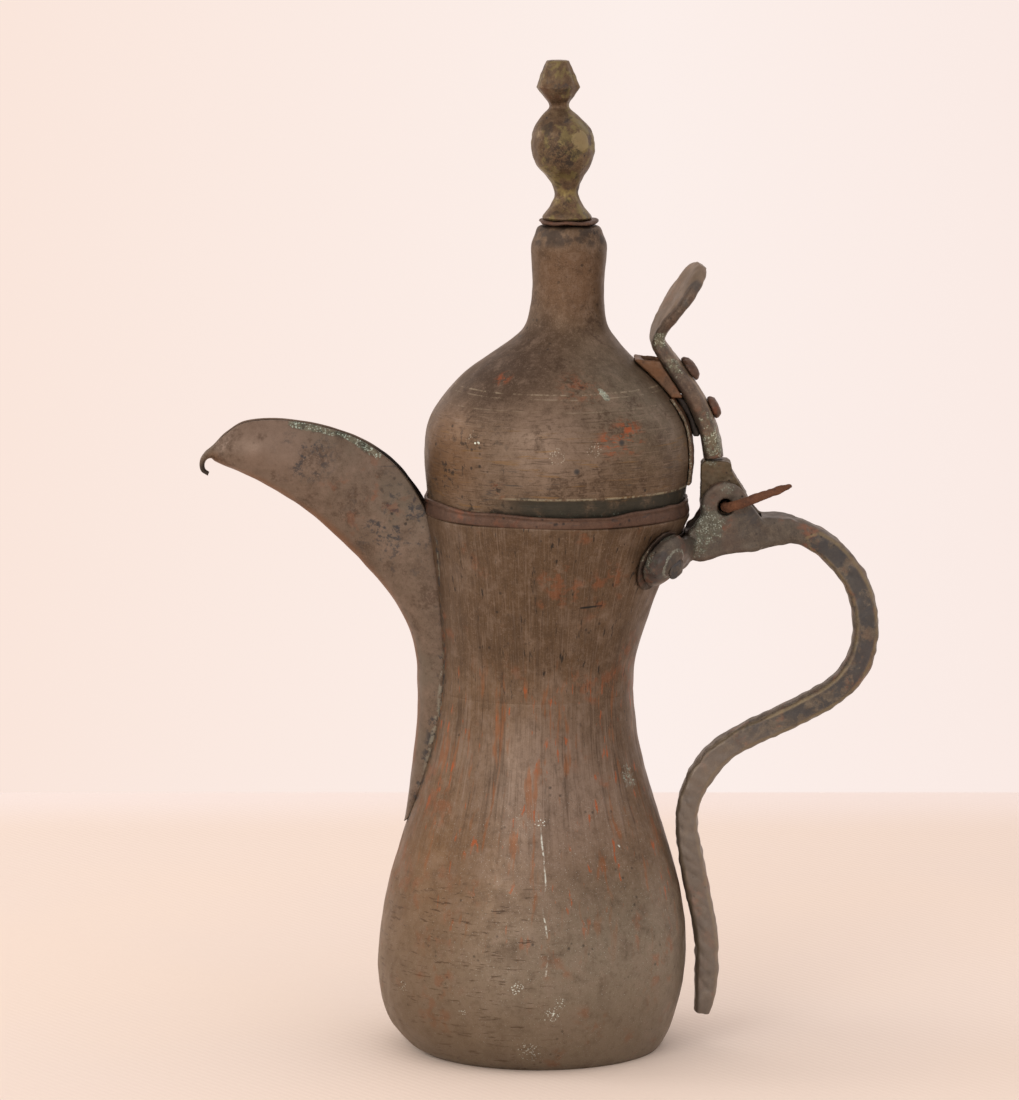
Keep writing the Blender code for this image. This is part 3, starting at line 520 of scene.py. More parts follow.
def spout_material():
    s = Metal("copper_spout", srgb(118, 97, 82))
    keel = [in_metres((x, 0, z)) for x, z, *_ in SPOUT_STATIONS[2:17]]
    s.grain(UMBER, PINKISH, 1.0)
    s.paint(s.cloud(36, 0.5, 0.66, 3, 0.55), GREYED, 0.5)
    s.paint(s.spot(-80, -6, 185, 22, 0.1), PINKISH, 0.45)
    s.paint(s.path(keel, 6.2 * MM, 2 * MM), srgb(124, 82, 52), 0.85)
    s.paint((s.cloud(90, 0.52, 0.62, 5), s.cloud(900, 0.36, 0.56)), UMBER, 0.5)
    s.streaks(900, 260, 0.60, 0.70, SLATE, 0.6, s.spot(-42, -8, 165, 30, 0.3), -0.2)
    cool = s.times(s.cloud(150, 0.48, 0.60, 4, 0.65), s.cloud(600, 0.44, 0.58, 5, 0.8))
    s.paint((cool, s.most([s.spot(-42, -8, 162, 20),
                                  s.spot(-70, -6, 182, 13, 0.1)])), SLATE, 0.9)
    s.paint((s.cloud(170, 0.56, 0.66, 4, 0.6), s.spot(-52, -8, 170, 20)),
            srgb(140, 84, 58), 0.35)
    s.paint(s.spot(-39.5, -8.8, 127.5, 1.6, 0.3), UMBER, 0.9)
    s.pits(380, 0.55, 0.64, 0.7)
    s.pits(900, 0.58, 0.68, 0.5, tone=PINKISH)
    rim = [(-74, -3.6, 191.4), (-66, -3.9, 190), (-60, -4.2, 188.2), (-54, -4.4, 185.8), (-48, -4.8, 182)]
    points = [in_metres(point) for point in rim]
    edge = s.path(points, 2.0 * MM, 2 * MM)
    s.paint((edge, s.cloud(220, 0.46, 0.54, 4, 0.6)), SOOT_AND_SHADE, 0.7)
    s.crust(edge, VERDIGRIS, 0.95, 420, 0.6)
    # Painted shade: the spout's inner far wall near the body is darkened because it lies in shadow;
    # elsewhere this dark tone is soot and dirt.
    inside = s.times(s.spot(-40, 6, 177, 14, 0.6), s.band(1, -0.002, 0))
    s.paint(inside, SOOT_AND_SHADE, 0.9)
    s.paint(s.spot(-100, -1, 176.5, 4, 0.3), SOOT_AND_SHADE, 0.7)
    s.chips(((-95.5, -2.6, 182.5, 1.5), (-93.5, -4, 181.5, 1.5)), amount=0.5)
    seam = seam_place(s, 3.4 * MM)
    s.paint((seam, s.cloud(300, 0.5, 0.6)), SLATE, 0.8, -0.2)
    s.paint((seam_place(s, 1.3 * MM), s.cloud(480, 0.45, 0.58)), srgb(150, 138, 122), 0.7)
    s.deepen(1.2, srgb(112, 92, 76))
    return s.done(0.47, 0.6, cast=(0.84, 0.95, 0.97))


def dome_material():
    s = Metal("copper_dome", srgb(112, 88, 70))
    height = s.axis(2)
    # Painted light: the first row is a painted dark reflection in the hollow where the dome turns into its
    # neck; the two pink rows after it are painted highlight on the front and on the left of the dome.
    s.patches((-12, -20, 212, 30, 0.3, UMBER, 0.8),
              (2, -40, 189, 30, 0.1, PINKISH, 0.7),
              (-30, -24, 196, 20, 0.1, PINKISH, 0.3),
              (30, -22, 203, 30, 0.2, GREYED, 0.6),
              (9, -11, 235, 18, 0.3, srgb(122, 88, 66), 0.5))
    s.grain(UMBER, PINKISH, 1.2)
    s.paint(s.spot(-30, -22, 184, 22), srgb(124, 86, 56), 0.5)
    s.paint((s.cloud(95, 0.54, 0.62, 5, 0.7, 0.3), s.cloud(800, 0.40, 0.56)), UMBER, 0.6)
    foot = s.step(height, 0.190, 0.172)
    side = s.step(height, 0.205, 0.195)
    s.streaks(170, 1100, 0.58, 0.70, SLATE, 0.65, foot, -0.2)
    s.streaks(130, 2400, 0.55, 0.70, PINKISH, 0.45, side)
    s.streaks(210, 3000, 0.56, 0.66, UMBER, 0.5, side, -0.2)
    s.streaks(90, 900, 0.60, 0.70, srgb(134, 98, 60), 0.5, s.step(height, 0.200, 0.185))
    s.paint((s.cloud(230, 0.56, 0.64, 5, 0.7, 0.5), s.spot(-22, -28, 176, 26, 0.3)),
            SOOT_AND_SHADE, 0.75, -0.2)
    s.pits(360, 0.55, 0.63, 0.7)
    s.pits(850, 0.57, 0.68, 0.5, tone=PINKISH)
    flame = s.step(s.noise(1, 4, 0.65, 0.4, s.round_place(230, 520)), 0.44, 0.56)
    red = s.most([s.spot(26.5, -32.5, 191.2, 7.5), s.spot(21, -36, 189.5, 6, 0.1),
                  s.spot(-10.7, -21, 207.1, 4, 0.1), s.spot(-13, -37, 174.8, 4, 0.1),
                  s.times(s.spot(12, -30, 206.2, 10, 0.1), 0.4)])
    s.paint((flame, red, s.cloud(700, 0.36, 0.56)), srgb(160, 84, 48), 0.8)
    for level, width, amount in ((203.3, 0.26, 0.45), (202, 0.2, 0.3), (198.6, 0.22, 0.2)):
        drift = s.times(s.math("SUBTRACT", s.noise(25, 2), 0.5), 1.6 * MM)
        gap = s.gap(s.math("ADD", height, drift), level * MM)
        ring = s.step(gap, 0.35 * width * MM, width * MM, 1.0, 0.0)
        s.paint((ring, s.cloud(210, 0.44, 0.58, 5, 0.8)), srgb(176, 154, 132), amount, 0.2)
    s.crust(s.path(((0.018, -0.0275, 0.2055), (0.020, -0.028, 0.202)), 1.8 * MM, MM), POWDER, 0.95, 900, 0.6)
    s.chips(((-20, -29, 191.5, 1.5), (-18.5, -31, 189, 1.5), (-27.5, -25, 186.5, 1.2), (2, -39, 187, 1)))
    s.dust(((16.5, -38, 188, 5), (-21, -29, 190, 3), (5, -39.5, 186, 5)), srgb(186, 168, 152), 0.55)
    for centre in ((11, -39.5, 181.5), (24.5, -34.5, 189.5)):
        s.paint(s.spot(*centre, 1.3, 0.3), SLATE, 0.8)
    groove = s.times(s.step(height, GROOVE_TOP + 0.0004, GROOVE_TOP - 0.0003), s.band(0, -0.018, 0.0))
    s.paint((groove, s.cloud(200, 0.2, 0.5, 5)), srgb(62, 58, 50), 0.85)
    lip = s.gap(height, GROOVE_TOP + 0.0004)
    s.paint((s.step(lip, 0.0005, 0.0001), s.cloud(260, 0.42, 0.55), s.band(0, -0.02, 0)),
            srgb(160, 144, 124), 0.7)
    s.crust(s.step(height, 0.1700, 0.1680), VERDIGRIS, 0.4, 420, 0.2)
    collar = s.step(height, 0.2440, 0.2465)
    s.paint((collar, s.cloud(240, 0.42, 0.58, 4, 0.6)), srgb(64, 52, 46), 0.7)
    s.deepen(1.28, srgb(118, 94, 76))
    return s.done(0.5, 0.6, cast=(0.80, 0.92, 0.89))


def sheet_material(name, tone, deep, light, rust=0.5):
    """Redder offcuts of sheet: the rolled strip, the patch, washers and rivets."""
    s = Metal(name, tone)
    s.grain(deep, light, 1.2)
    s.streaks(200, 900, 0.60, 0.72, SLATE, 0.5)
    s.paint((s.cloud(90, 0.5, 0.64, 4, 0.6), s.cloud(420, 0.45, 0.6, 4, 0.6)),
            srgb(138, 78, 52), rust)
    s.pits(430, 0.52, 0.62, 0.8)
    return s


def cast_material(name, tone, deep, light, crusts=(), rust=0.5, rings=()):
    """Cast brass gone grey-brown, with dull red patches, pits and pale green crusts."""
    s = Metal(name, tone)
    s.grain(deep, light, 1.3)
    s.paint(s.cloud(70, 0.50, 0.62, 4, 0.6, 0.3), srgb(112, 78, 62), 0.5 * rust)
    s.paint((s.cloud(110, 0.54, 0.64, 4, 0.6, 0.3), s.cloud(520, 0.4, 0.6, 4, 0.6)),
            srgb(140, 84, 60), rust)
    s.paint(s.cloud(95, 0.44, 0.34, 4, 0.65, 0.5), SLATE, 0.65)
    s.pits(520, 0.50, 0.62, 0.8)
    for x, y, z, reach, cover in crusts:
        s.crust(s.spot(x, y, z, reach, 0.15), VERDIGRIS, 0.85, 760, cover)
    for *centre, radius, width in rings:
        gap = s.gap(s.vector("DISTANCE", s.place, in_metres(centre), "Value"), radius * MM)
        s.crust(s.step(gap, 0.2 * width * MM, width * MM, 1.0, 0.0), POWDER, 0.95, 900, 0.5)
    return s


# ---- body
SHEET = 1.3 * MM
SEAM = 110                    # height of the ring where the two halves of the body meet
LOWER_OUTLINE = ((36.6, 0, 0), (39.6, 2.8, -1.1), (43.9, 10.5, -2.5), (46.4, 22, -2.3),
                 (46.2, 36, -1.7), (43.9, 50, -1.5), (39.3, 67, -1.4), (35.2, 80, -1.2),
                 (31.5, 95, -1.2), (29.6, 110, -1))
UPPER_OUTLINE = ((29.6, 110, -1), (30.1, 121, -0.2), (33.1, 138, 1.9),
                 (37, 154, 4), (39.9, 163.5, 5.5))
BODY_SIDES = 240


def fade(rings, low, high, reach):
    """0 at the ends of a range of heights in millimetres, 1 inside it."""
    z = rings[..., 2] / MM
    return np.clip((z - low) / reach, 0, 1) * np.clip((high - z) / reach, 0, 1)


def from_axis(rings, lean):
    """Level vectors to the points from a turning axis at x = lean, one for all rings or one each."""
    away = rings * (1, 1, 0)
    away[..., 0] -= np.reshape(lean, (-1, 1))
    return away


def move_radially(rings, lean, height):
    """Move points away from the turning axis, both sides of the sheet alike."""
    return rings + unit(from_axis(rings, lean)) * height[..., None]


def hammered(outline, sheet, seed, coarse, low, high, reach, dents):
    """Rings of a turned sheet wall, uneven but for its two ends, less dents(rings)."""
    rows = sheet_rows(outline, sheet)
    rings = turned(rows, BODY_SIDES)
    height = lumpy(rings, seed, coarse, (12, 0.05), (5, 0.02)) * fade(rings, low, high, reach)
    return move_radially(rings, rows[:, 2], height - dents(rings))


def build_body(material):
    lower = spline(LOWER_OUTLINE, 110) * MM
    rings = hammered(lower, SHEET, 11, (75, 0.16), -1, SEAM, 5,
                     lambda points: 0.55 * MM * falloff(points, (0.0285, -0.0205, 0.0815), 9 * MM))
    belly = loft("belly", rings, True)

    upper = spline(UPPER_OUTLINE, 70) * MM
    upper[0, 1] += 0.06 * MM
    rings = hammered(upper, SHEET, 21, (60, 0.16), SEAM, 165, 5, lambda points: 0.0)
    rings[..., 2] += lumpy(rings * (1, 1, 0), 24, (40, 0.22)) * fade(rings, SEAM, 400, 50)
    shoulder = loft("body_shoulder", rings, True)
    cut_slot(shoulder)

    rows = ((1, 0), (34.4, 0), (35, 0.4), (35, 1), (34.4, 1.2), (1, 1.2))
    base = loft("base_disc", turned(profile(rows, 0), 120))
    for piece, node in ((belly, "body_lower"), (shoulder, "body_upper"), (base, "base_plate")):
        finish_piece(piece, node, "root", material)


def cut_slot(piece):
    """The opening behind the spout, tapering down from the mouth."""
    top, foot, floor = 6.6, 4.0, 122
    outline = [(-top, 175), (top, 175), (foot, floor)]
    outline += [(foot * cos(a), floor + foot * sin(a)) for a in np.linspace(0, -pi, 9)[1:-1]]
    outline += [(-foot, floor)]
    tool = loft("slot_tool", np.array([[(x, y, z) for y, z in outline] for x in (-60, -10)]) * MM)
    modifier = piece.modifiers.new("slot", "BOOLEAN")
    modifier.operation = "DIFFERENCE"
    modifier.object = tool
    apply_modifiers(piece)
    bpy.data.objects.remove(tool)
    piece.data.shade_smooth()
    piece.data.set_sharp_from_angle(angle=radians(50))


def finish_piece(piece, node, body, material):
    """Give a piece its looks, in place of its CAD node."""
    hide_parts(node)
    piece.data.materials.clear()
    piece.data.materials.append(material)
    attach(piece, body)


# ---- spout
SPOUT_SHEET = 1.1
SPOUT_STATIONS = ((-40.9, 69, None, 70, 2.6, 1), (-39.4, 78.6, None, 79, 5.2, 1),
                  (-37.9, 90.5, None, 91, 7.4, 1), (-36.9, 100.5, None, 101, 8.6, 1),
                  (-36.7, 110.3, None, 111, 9.2, 1), (-36.9, 119, None, 121, 9.3, 1),
                  (-38.8, 127.4, None, 131, 9.2, 1), (-42.9, 136, None, 141, 9, 1),
                  (-47.4, 142.3, None, 150, 8.8, 1), (-51.8, 147.1, None, 158, 8.6, 1),
                  (-56.2, 151.8, -34.3, 165, 8.4, 0.86), (-64.8, 159.9, -38.9, 172.8, 8.4, 0.66),
                  (-70.6, 164.6, -44.9, 179.6, 8.6, 0.52), (-78.2, 169.6, -54.2, 185.9, 9, 0.42),
                  (-86, 174.1, -66.4, 190, 9.2, 0.36), (-92, 177, -79, 191.7, 9, 0.36),
                  (-95.6, 178.5, -88.6, 190.8, 7.4, 0.44), (-97.6, 179.4, -94.6, 187.2, 4.6, 0.66),
                  (-98.6, 180.2, -98.2, 183.4, 2.1, 1), (-99.9, 179.9, -100.3, 181.6, 1.5, 1),
                  (-100.7, 178.6, -101.6, 179.3, 1.3, 1), (-100.5, 177, -101.4, 176.6, 1.1, 1),
                  (-99.3, 176, -99.6, 175.2, 0.9, 1))
SPOUT_BULGE = 0.16


def wall_edge(half_width, height):
    """x of the body's spout side, a hair outside it, at a distance from the middle plane, in millimetres."""
    curve = spline(LOWER_OUTLINE if height < SEAM else UPPER_OUTLINE, 200)
    radius, centre = (float(np.interp(height, curve[:, 1], curve[:, k])) for k in (0, 2))
    return centre - sqrt((radius + 0.05) ** 2 - half_width ** 2)


def build_spout(material):
    stations = [(*keel, wall_edge(half_width, z) if x is None else x, z, half_width, share)
                for *keel, x, z, half_width, share in SPOUT_STATIONS]
    angles = np.linspace(-pi / 2, pi / 2, 41)
    turns = np.linspace(pi / 2, -pi / 2, 5)[1:-1]
    curl = 0.5 * np.column_stack((np.cos(turns), np.sin(turns)))
    rings = []
    for keel_x, keel_z, edge_x, edge_z, half_width, share in spline(stations, 190):
        depth_axis = np.array((edge_x - keel_x, 0.0, edge_z - keel_z))
        depth = np.linalg.norm(depth_axis)
        depth_axis /= depth
        bulge = SPOUT_BULGE * min(1.0, depth / 12)
        across = half_width * np.sin(angles) * (1 + bulge * np.cos(angles) ** 2 * 2.0)
        across *= 1 - (1 - share) * (1 - np.cos(angles)) ** 2
        outer = np.column_stack((depth * (1 - np.cos(angles)), across))
        slope = unit(np.gradient(outer, axis=0))
        inward = np.column_stack((slope[:, 1], -slope[:, 0]))
        inward[0] = (0.0, 1.0)
        inward[-1] = (0.0, -1.0)
        sheet = min(SPOUT_SHEET, 0.55 * half_width)
        near_edge, far_edge = (outer[end] + sheet * (0.5 * inward[end] + curl) for end in (0, -1))
        section = np.vstack((outer, far_edge, (outer + sheet * inward)[::-1], near_edge))
        rings.append([(keel_x, y, keel_z) + r * depth_axis for r, y in section])
    spout = loft("crescent_spout", np.array(rings) * MM)
    shape_surface(spout, lambda p, n: lumpy(p, 31, (24, 0.07), (8, 0.03)))
    finish_piece(spout, "spout", "root", material)


# ---- lid
DOME_OUTLINE = ((38.3, 165.3, 5.5), (39.4, 173, 5.6), (40, 182, 5.7), (38.8, 191, 5.6),
                (35, 198, 5.6), (28, 205.9, 5.7), (21.2, 211.4, 6.3), (15.6, 216.4, 7.6),
                (12.4, 220.6, 8.2), (11.1, 227, 8.6), (10.9, 234, 8.9), (11.4, 241, 9.1),
                (11.5, 244.6, 9.1), (10.4, 247.8, 9.1), (9.2, 250.2, 9), (6.2, 250.9, 8.9))
GROOVE_TOP = 172.6 * MM
FINIAL_OUTLINE = ((7.2, 252.6, 8.4), (7.2, 253.6, 8.4), (4.6, 257.2, 8.3), (3.5, 260.6, 8.2),
                  (5.4, 265, 7.8), (8.3, 269, 7.4), (9.5, 274.4, 7.1), (8.5, 279.4, 6.8),
                  (5.6, 283.2, 6.4), (2.9, 286.4, 6.1), (4.6, 289.2, 5.8), (6.4, 292, 5.6),
                  (5, 295.8, 5.6), (3.5, 299.5, 5.6), (2.6, 300, 5.6))
FINIAL_EDGE = 11              # row of the sharp edge round the top knob
FINIAL_SIDES = 96
MOUTH_CENTRE, NECK_CENTRE = 5.5, 8.9


def build_dome(material):
    def groove(points):
        sunk = np.clip((GROOVE_TOP + 0.3 * MM - points[..., 2]) / (0.5 * MM), 0, 1)
        return 0.4 * MM * sunk * np.clip((points[..., 0] + 18 * MM) / (12 * MM), 0, 1)

    rings = hammered(spline(DOME_OUTLINE, 170) * MM, 1.2 * MM, 41, (60, 0.14), 163, 252, 6, groove)
    finish_piece(loft("dome", rings, True), "lid_dome", "lid", material)


def build_flange(material):
    """Rolled strip round the lid: a bellied band whose lip stands higher at the two sides."""
    bottom, top, outer, sheet, ring, roll = 163.9, 168.0, 39.8, 1.0, 36.5, 0.9
    belly = [(outer - roll + (roll + 0.3 * sin(a)) * sin(a), bottom + roll - roll * cos(a))
             for a in np.linspace(0, pi / 2, 7)]
    belly += [(outer + 0.3, 165.6), (outer + 0.2, 166.4), (outer, 167.0)]
    lip = [(outer + 0.1 + sheet * (0.7 * cos(a) - 0.5), top + 0.6 * sheet * (sin(a) - 1))
           for a in np.linspace(-0.4, pi + 0.3, 11)]
    rows = ((ring, bottom), *belly, *lip, (outer - sheet, 166.0), (outer - sheet, bottom + sheet),
            (ring, bottom + sheet))
    rings = turned(profile(rows, MOUTH_CENTRE), BODY_SIDES)
    flat = rings * (1, 1, 0)
    rise = np.clip((rings[..., 2] / MM - bottom) / (top - bottom), 0, 1)
    sideways = abs(unit(from_axis(rings, MOUTH_CENTRE * MM))[..., 0]) ** 3
    rings[..., 2] += rise * (1.3 * MM * sideways + lumpy(flat, 51, (34, 0.3), (11, 0.12)))
    rings[..., 2] += lumpy(flat, 53, (50, 0.12))
    rings = move_radially(rings, MOUTH_CENTRE * MM, rise * lumpy(flat, 54, (26, 0.25), (6, 0.08)))
    finish_piece(loft("rolled_flange", rings, True), "lid_flange", "lid", material)


def build_sleeve(material):
    outer, inner, bottom, top = 36.2, 35.2, 158.5, 168
    rows = ((outer - 0.5, bottom), (outer, bottom + 2), (outer, top - 0.4), (outer - 0.3, top),
            (inner + 0.3, top), (inner, top - 0.4), (inner - 0.5, bottom))
    rings = turned(profile(rows, MOUTH_CENTRE), BODY_SIDES)
    finish_piece(loft("mouth_sleeve", rings, True), "lid_sleeve", "lid", material)


def build_finial(brass, copper):
    below, above = FINIAL_OUTLINE[:FINIAL_EDGE + 1], FINIAL_OUTLINE[FINIAL_EDGE:]
    tang = [(radius, z, NECK_CENTRE) for radius, z in ((3.4, 247), (2.2, 248), (2.2, 252.4))]
    rows = np.vstack((tang, spline(below, 130), spline(above, 40)[1:])) * MM
    rings = turned(rows, FINIAL_SIDES)
    radial = from_axis(rings, rows[:, 2])
    angle = np.arctan2(radial[..., 1], radial[..., 0])
    knob = np.clip((rings[..., 2] - 285 * MM) / (2 * MM), 0.25, 1)
    facets = np.cos(8 * angle + 0.7) * 0.024 + np.cos(5 * angle) * 0.012
    facets *= np.linalg.norm(radial, axis=-1) * knob
    facets += lumpy(rings, 61, (9, 0.10), (3, 0.05))
    finial = loft("turned_finial", move_radially(rings, rows[:, 2], facets))
    finish_piece(finial, "finial", "lid", brass)

    bore, edge, foot = 2.5, 8.9, 251.2
    rows = ((bore, foot), (edge - 0.4, foot), (edge, foot + 0.4), (edge - 0.1, foot + 0.9),
            (edge - 0.6, foot + 1.15), (bore, foot + 1.1))
    rings = turned(profile(rows, NECK_CENTRE), FINIAL_SIDES)
    flat = rings * (1, 1, 0)
    rings[..., 2] += lumpy(flat, 63, (9, 0.12))
    rings = move_radially(rings, NECK_CENTRE * MM, lumpy(flat, 64, (6, 0.2)))
    finish_piece(loft("neck_ring", rings, True), "neck_collar", "lid", copper)


# ---- lever, handle and small parts
LEVER_ROUTE = ((52.6, 180.6, 9.6, 6, 0), (51.6, 187, 11.6, 6, 0), (49.4, 193.4, 13.6, 6, 0),
               (46.4, 199.6, 14, 5.8, 0), (42.6, 205.4, 14, 5.4, 0), (38.6, 211, 13.6, 4.8, 0),
               (35.6, 216.4, 13.6, 4.2, 2), (37.4, 221.4, 18, 3.5, 6),
               (40, 225.4, 22.6, 3.4, 8.5), (42.8, 229.6, 25, 3.4, 8.5),
               (45.6, 233.8, 22.4, 3.4, 8.5), (47.8, 237.1, 15, 3.1, 8.5),
               (48.9, 238.7, 7.0, 2.4, 8.5))


def build_lever(material):
    route = spline(LEVER_ROUTE, 150)
    slope = unit(np.gradient(route[:, :2], axis=0))
    around = 2 * pi * (np.arange(44) + 0.5) / 44
    wide, high = (np.sign(wave) * abs(wave) ** 0.55 for wave in (np.cos(around), np.sin(around)))
    rings = []
    for (x, z, width, thick, twist), (along_x, along_z) in zip(route, slope):
        twist = radians(twist)
        thick *= 1.0 + 0.2 * min(1.0, max(0.0, (z - 218) / 4))
        normal = np.array((along_z, 0.0, -along_x))
        crown = 0.32 * max(0.0, (thick - 3.4) / 2.6)
        across, deep = 0.5 * width * wide, 0.5 * thick * high
        deep = np.where(deep > 0, deep * (1 - crown * (2 * across / width) ** 2), deep)
        out = deep * cos(twist) - across * sin(twist)
        side = across * cos(twist) + deep * sin(twist)
        rings.append(out[:, None] * normal + side[:, None] * (0, 1, 0) + (x, 0, z))
    lever = loft("lever_strap", np.array(rings) * MM)
    shape_surface(lever, lambda p, n: lumpy(p, 71, (9, 0.10), (3.2, 0.05)))
    finish_piece(lever, "thumb_lever", "lid", material)


GRIP_ROUTE = ((77, 158.6), (89.2, 151.4), (97.7, 138.4), (98.6, 123.6), (92.1, 111.3), (76.8, 101.9),
              (61.4, 94.8), (50, 85), (44.9, 70), (47.6, 52), (51.1, 33), (50.9, 16.5), (49.8, 9.6))


OFF_CENTRE = "off_centre"     # mesh attribute: distance from the grip's centre line, seen from the side


def grip_place(points):
    """Distance along the grip's centre line and across it, seen from the side, in millimetres."""
    route = spline(GRIP_ROUTE, 400)
    length = np.concatenate(([0.0], np.cumsum(np.linalg.norm(np.diff(route, axis=0), axis=1))))
    slope = unit(np.gradient(route, axis=0))
    flat = points[:, (0, 2)] / MM
    nearest = np.empty(len(points), dtype=int)
    for start in range(0, len(points), 20000):
        block = slice(start, start + 20000)
        gaps = ((flat[block, None, :] - route[None, :, :]) ** 2).sum(axis=-1)
        nearest[block] = gaps.argmin(axis=1)
    offset, side = flat - route[nearest], slope[nearest]
    return length[nearest], offset[:, 0] * side[:, 1] - offset[:, 1] * side[:, 0], length[-1]


def chasing(points, normals):
    """A sunk channel and slanting chisel marks on both side faces of the grip, and lumps on its edges."""
    along, across, whole = grip_place(points)
    on_side = np.clip(abs(normals[:, 1]) * 2.2 - 1.1, 0, 1)
    on_grip = np.clip((along - 6) / 8, 0, 1) * np.clip((whole - 5 - along) / 5, 0, 1)
    mark = np.sin(2 * pi * (along + 1.15 * across + 0.4 * ripple(points, 9 * MM, 81)) / 4.3)
    depth = np.clip(mark - 0.1, 0, 1) * np.clip(1 - abs(across) / 2.9, 0, 1) ** 0.5
    worn = np.clip(0.55 + 0.5 * ripple(points, 22 * MM, 82), 0, 1)
    lower = np.clip((112 - points[:, 2] / MM) / 10, 0.1, 1)
    cut = -0.26 * depth * worn * on_side * on_grip * lower
    lobes = sum(1.3 * falloff(points, in_metres((40.5, y, 151.5)), 7.5 * MM) for y in (-24.5, 24.5))
    lump = 0.09 * np.clip(ripple(points, 7 * MM, 83), -1, 2) * (1 - on_side) * on_grip
    sunk = -0.3 * np.clip((2.4 - abs(across)) / 0.7, 0, 1) * on_side * on_grip
    return (cut + lobes + lump + sunk) * MM


def build_handle(brass):
    handle = worn_copy("cast_handle", "handle", 0.45, 6, ((16, 0.12), (4, 0.07)), chasing)
    along, across, _ = grip_place(mesh_arrays(handle.data)[0])
    gap = handle.data.attributes.new(OFF_CENTRE, "FLOAT", "POINT")
    gap.data.foreach_set("value", (abs(across) + np.clip(7 - along, 0, None)) * MM)
    finish_piece(handle, "handle", "root", brass)


SWOLLEN = ("packing", "folded_bracket", "rivet_upper", "rivet_lower")


def build_small_parts(materials):
    """Pieces whose CAD solid only needs its edges and surface worn."""
    brass, copper, red, rust, dark, knuckle, pad = materials
    parts = (("saddle_pad", "handle_pad", "root", "red_copper", pad, 0.3, 3, 0.06),
             ("rivet_near", "handle_rivet_near", "root", "cast_brass", brass, 0.22, 5, 0.08),
             ("rivet_far", "handle_rivet_far", "root", "cast_brass", brass, 0.22, 5, 0.08),
             ("bent_nail", "hinge_nail", "root", "rusty_iron", rust, 0.16, 6, 0.07),
             ("knuckle", "hinge_knuckle", "lid", "finial_brass", knuckle, 0.26, 10, 0.08),
             ("rivet_upper", "strap_rivet_upper", "lid", "red_copper", red, 0.22, 5, 0.07),
             ("rivet_lower", "strap_rivet_lower", "lid", "red_copper", red, 0.22, 5, 0.07),
             ("folded_bracket", "lid_bracket", "lid", "red_copper", copper, 0.22, 3, 0.05),
             ("dome_patch", "lid_patch", "lid", "red_copper", copper, 0.22, 2, 0.04),
             # the packing's near-black is partly painted shade for the gap under the strap
             ("packing", "strap_spacer", "lid", "dark_packing", dark, 0.26, 3, 0.08),
             ("tang_burr", "finial_burr", "lid", "red_copper", red, 0.26, 2, 0.04))
    for name, node, body, slot, material, voxel, smooth_steps, lump in parts:
        swell = (lambda p, n: 0.3 * MM) if name in SWOLLEN else None
        piece = worn_copy(name, node, voxel, smooth_steps, ((5, lump), (1.6, 0.5 * lump)), swell)
        finish_piece(piece, node, body, material)


# ---- stage, light and camera
def build_stage():
    floor = new_piece("floor", [(-3, -3, 0), (3, -3, 0), (3, 0.41, 0), (-3, 0.41, 0)], [(0, 1, 2, 3)], False)
    s = Surface("floor_paper")
    weave = s.times(s.math("SINE", s.times(s.axis(0), 2100)),
                   s.math("SINE", s.times(s.axis(1), 1500)))
    tone = s.mix(s.cloud(5, 0.35, 0.65, 2, 0.55), srgb(240, 231, 222), srgb(242, 232, 221))
    tone = s.mix(s.band(1, 0.33, 0.41), tone, srgb(245, 240, 238))
    floor.data.materials.append(s.finish(tone, 0.85, s.bump(weave, 0.12 * MM, 0.3), 0.0))


def area_light(name, place, aim, size, power, colour):
    light = bpy.data.lights.new(name, "AREA")
    light.shape = "DISK"
    light.size = size
    light.energy = power
    light.color = colour
    lamp = bpy.data.objects.new(name, light)
    bpy.context.collection.objects.link(lamp)
    lamp.location = place
    lamp.rotation_euler = (Vector(aim) - Vector(place)).to_track_quat("-Z", "Y").to_euler()


def build_light():
    """A pale paper surround, a little pinker to the left, and two soft lamps."""
    world = bpy.data.worlds.new("studio")
    bpy.context.scene.world = world
    world.use_nodes = True
    nodes, links = world.node_tree.nodes, world.node_tree.links
    kinds = ("TexCoord", "SeparateXYZ", "MapRange", "ValToRGB")
    place, split, spread, ramp = (nodes.new("ShaderNode" + kind) for kind in kinds)
    spread.inputs["From Min"].default_value = -0.085
    spread.inputs["From Max"].default_value = 0.085
    links.new(place.outputs["Generated"], split.inputs[0])
    links.new(split.outputs["X"], spread.inputs["Value"])
    links.new(spread.outputs[0], ramp.inputs["Fac"])
    links.new(ramp.outputs["Color"], nodes["Background"].inputs["Color"])
    stops = ramp.color_ramp.elements
    stops[0].color, stops[1].color = srgb(250, 229, 218), srgb(250, 234, 228)
    stops.new(0.62).color = srgb(252, 239, 234)
    middle = (0, 0, 0.15)
    area_light("key", (-0.9, -1.9, 0.9), middle, 1.2, 9, (1, 0.97, 0.95))
    area_light("side", (-1.6, 0.2, 0.8), middle, 0.9, 5, (1, 0.96, 0.94))
    bpy.context.scene.view_settings.view_transform = "Standard"


def build_camera():
    """A long lens about two metres away, looking slightly down along +Y."""
    lens, sensor = 212.0, 36.0
    elevation = radians(8.6)
    distance = 1.955
    aim = Vector((-0.0088, 0.0, 0.1522))
    data = bpy.data.cameras.new("camera")
    data.lens = lens
    data.sensor_width = sensor
    data.clip_end = 20
    camera = bpy.data.objects.new("camera", data)
    bpy.context.collection.objects.link(camera)
    camera.location = aim + distance * Vector((0.0, -cos(elevation), sin(elevation)))
    camera.rotation_euler = (pi / 2 - elevation, 0.0, 0.0)
    bpy.context.scene.camera = camera


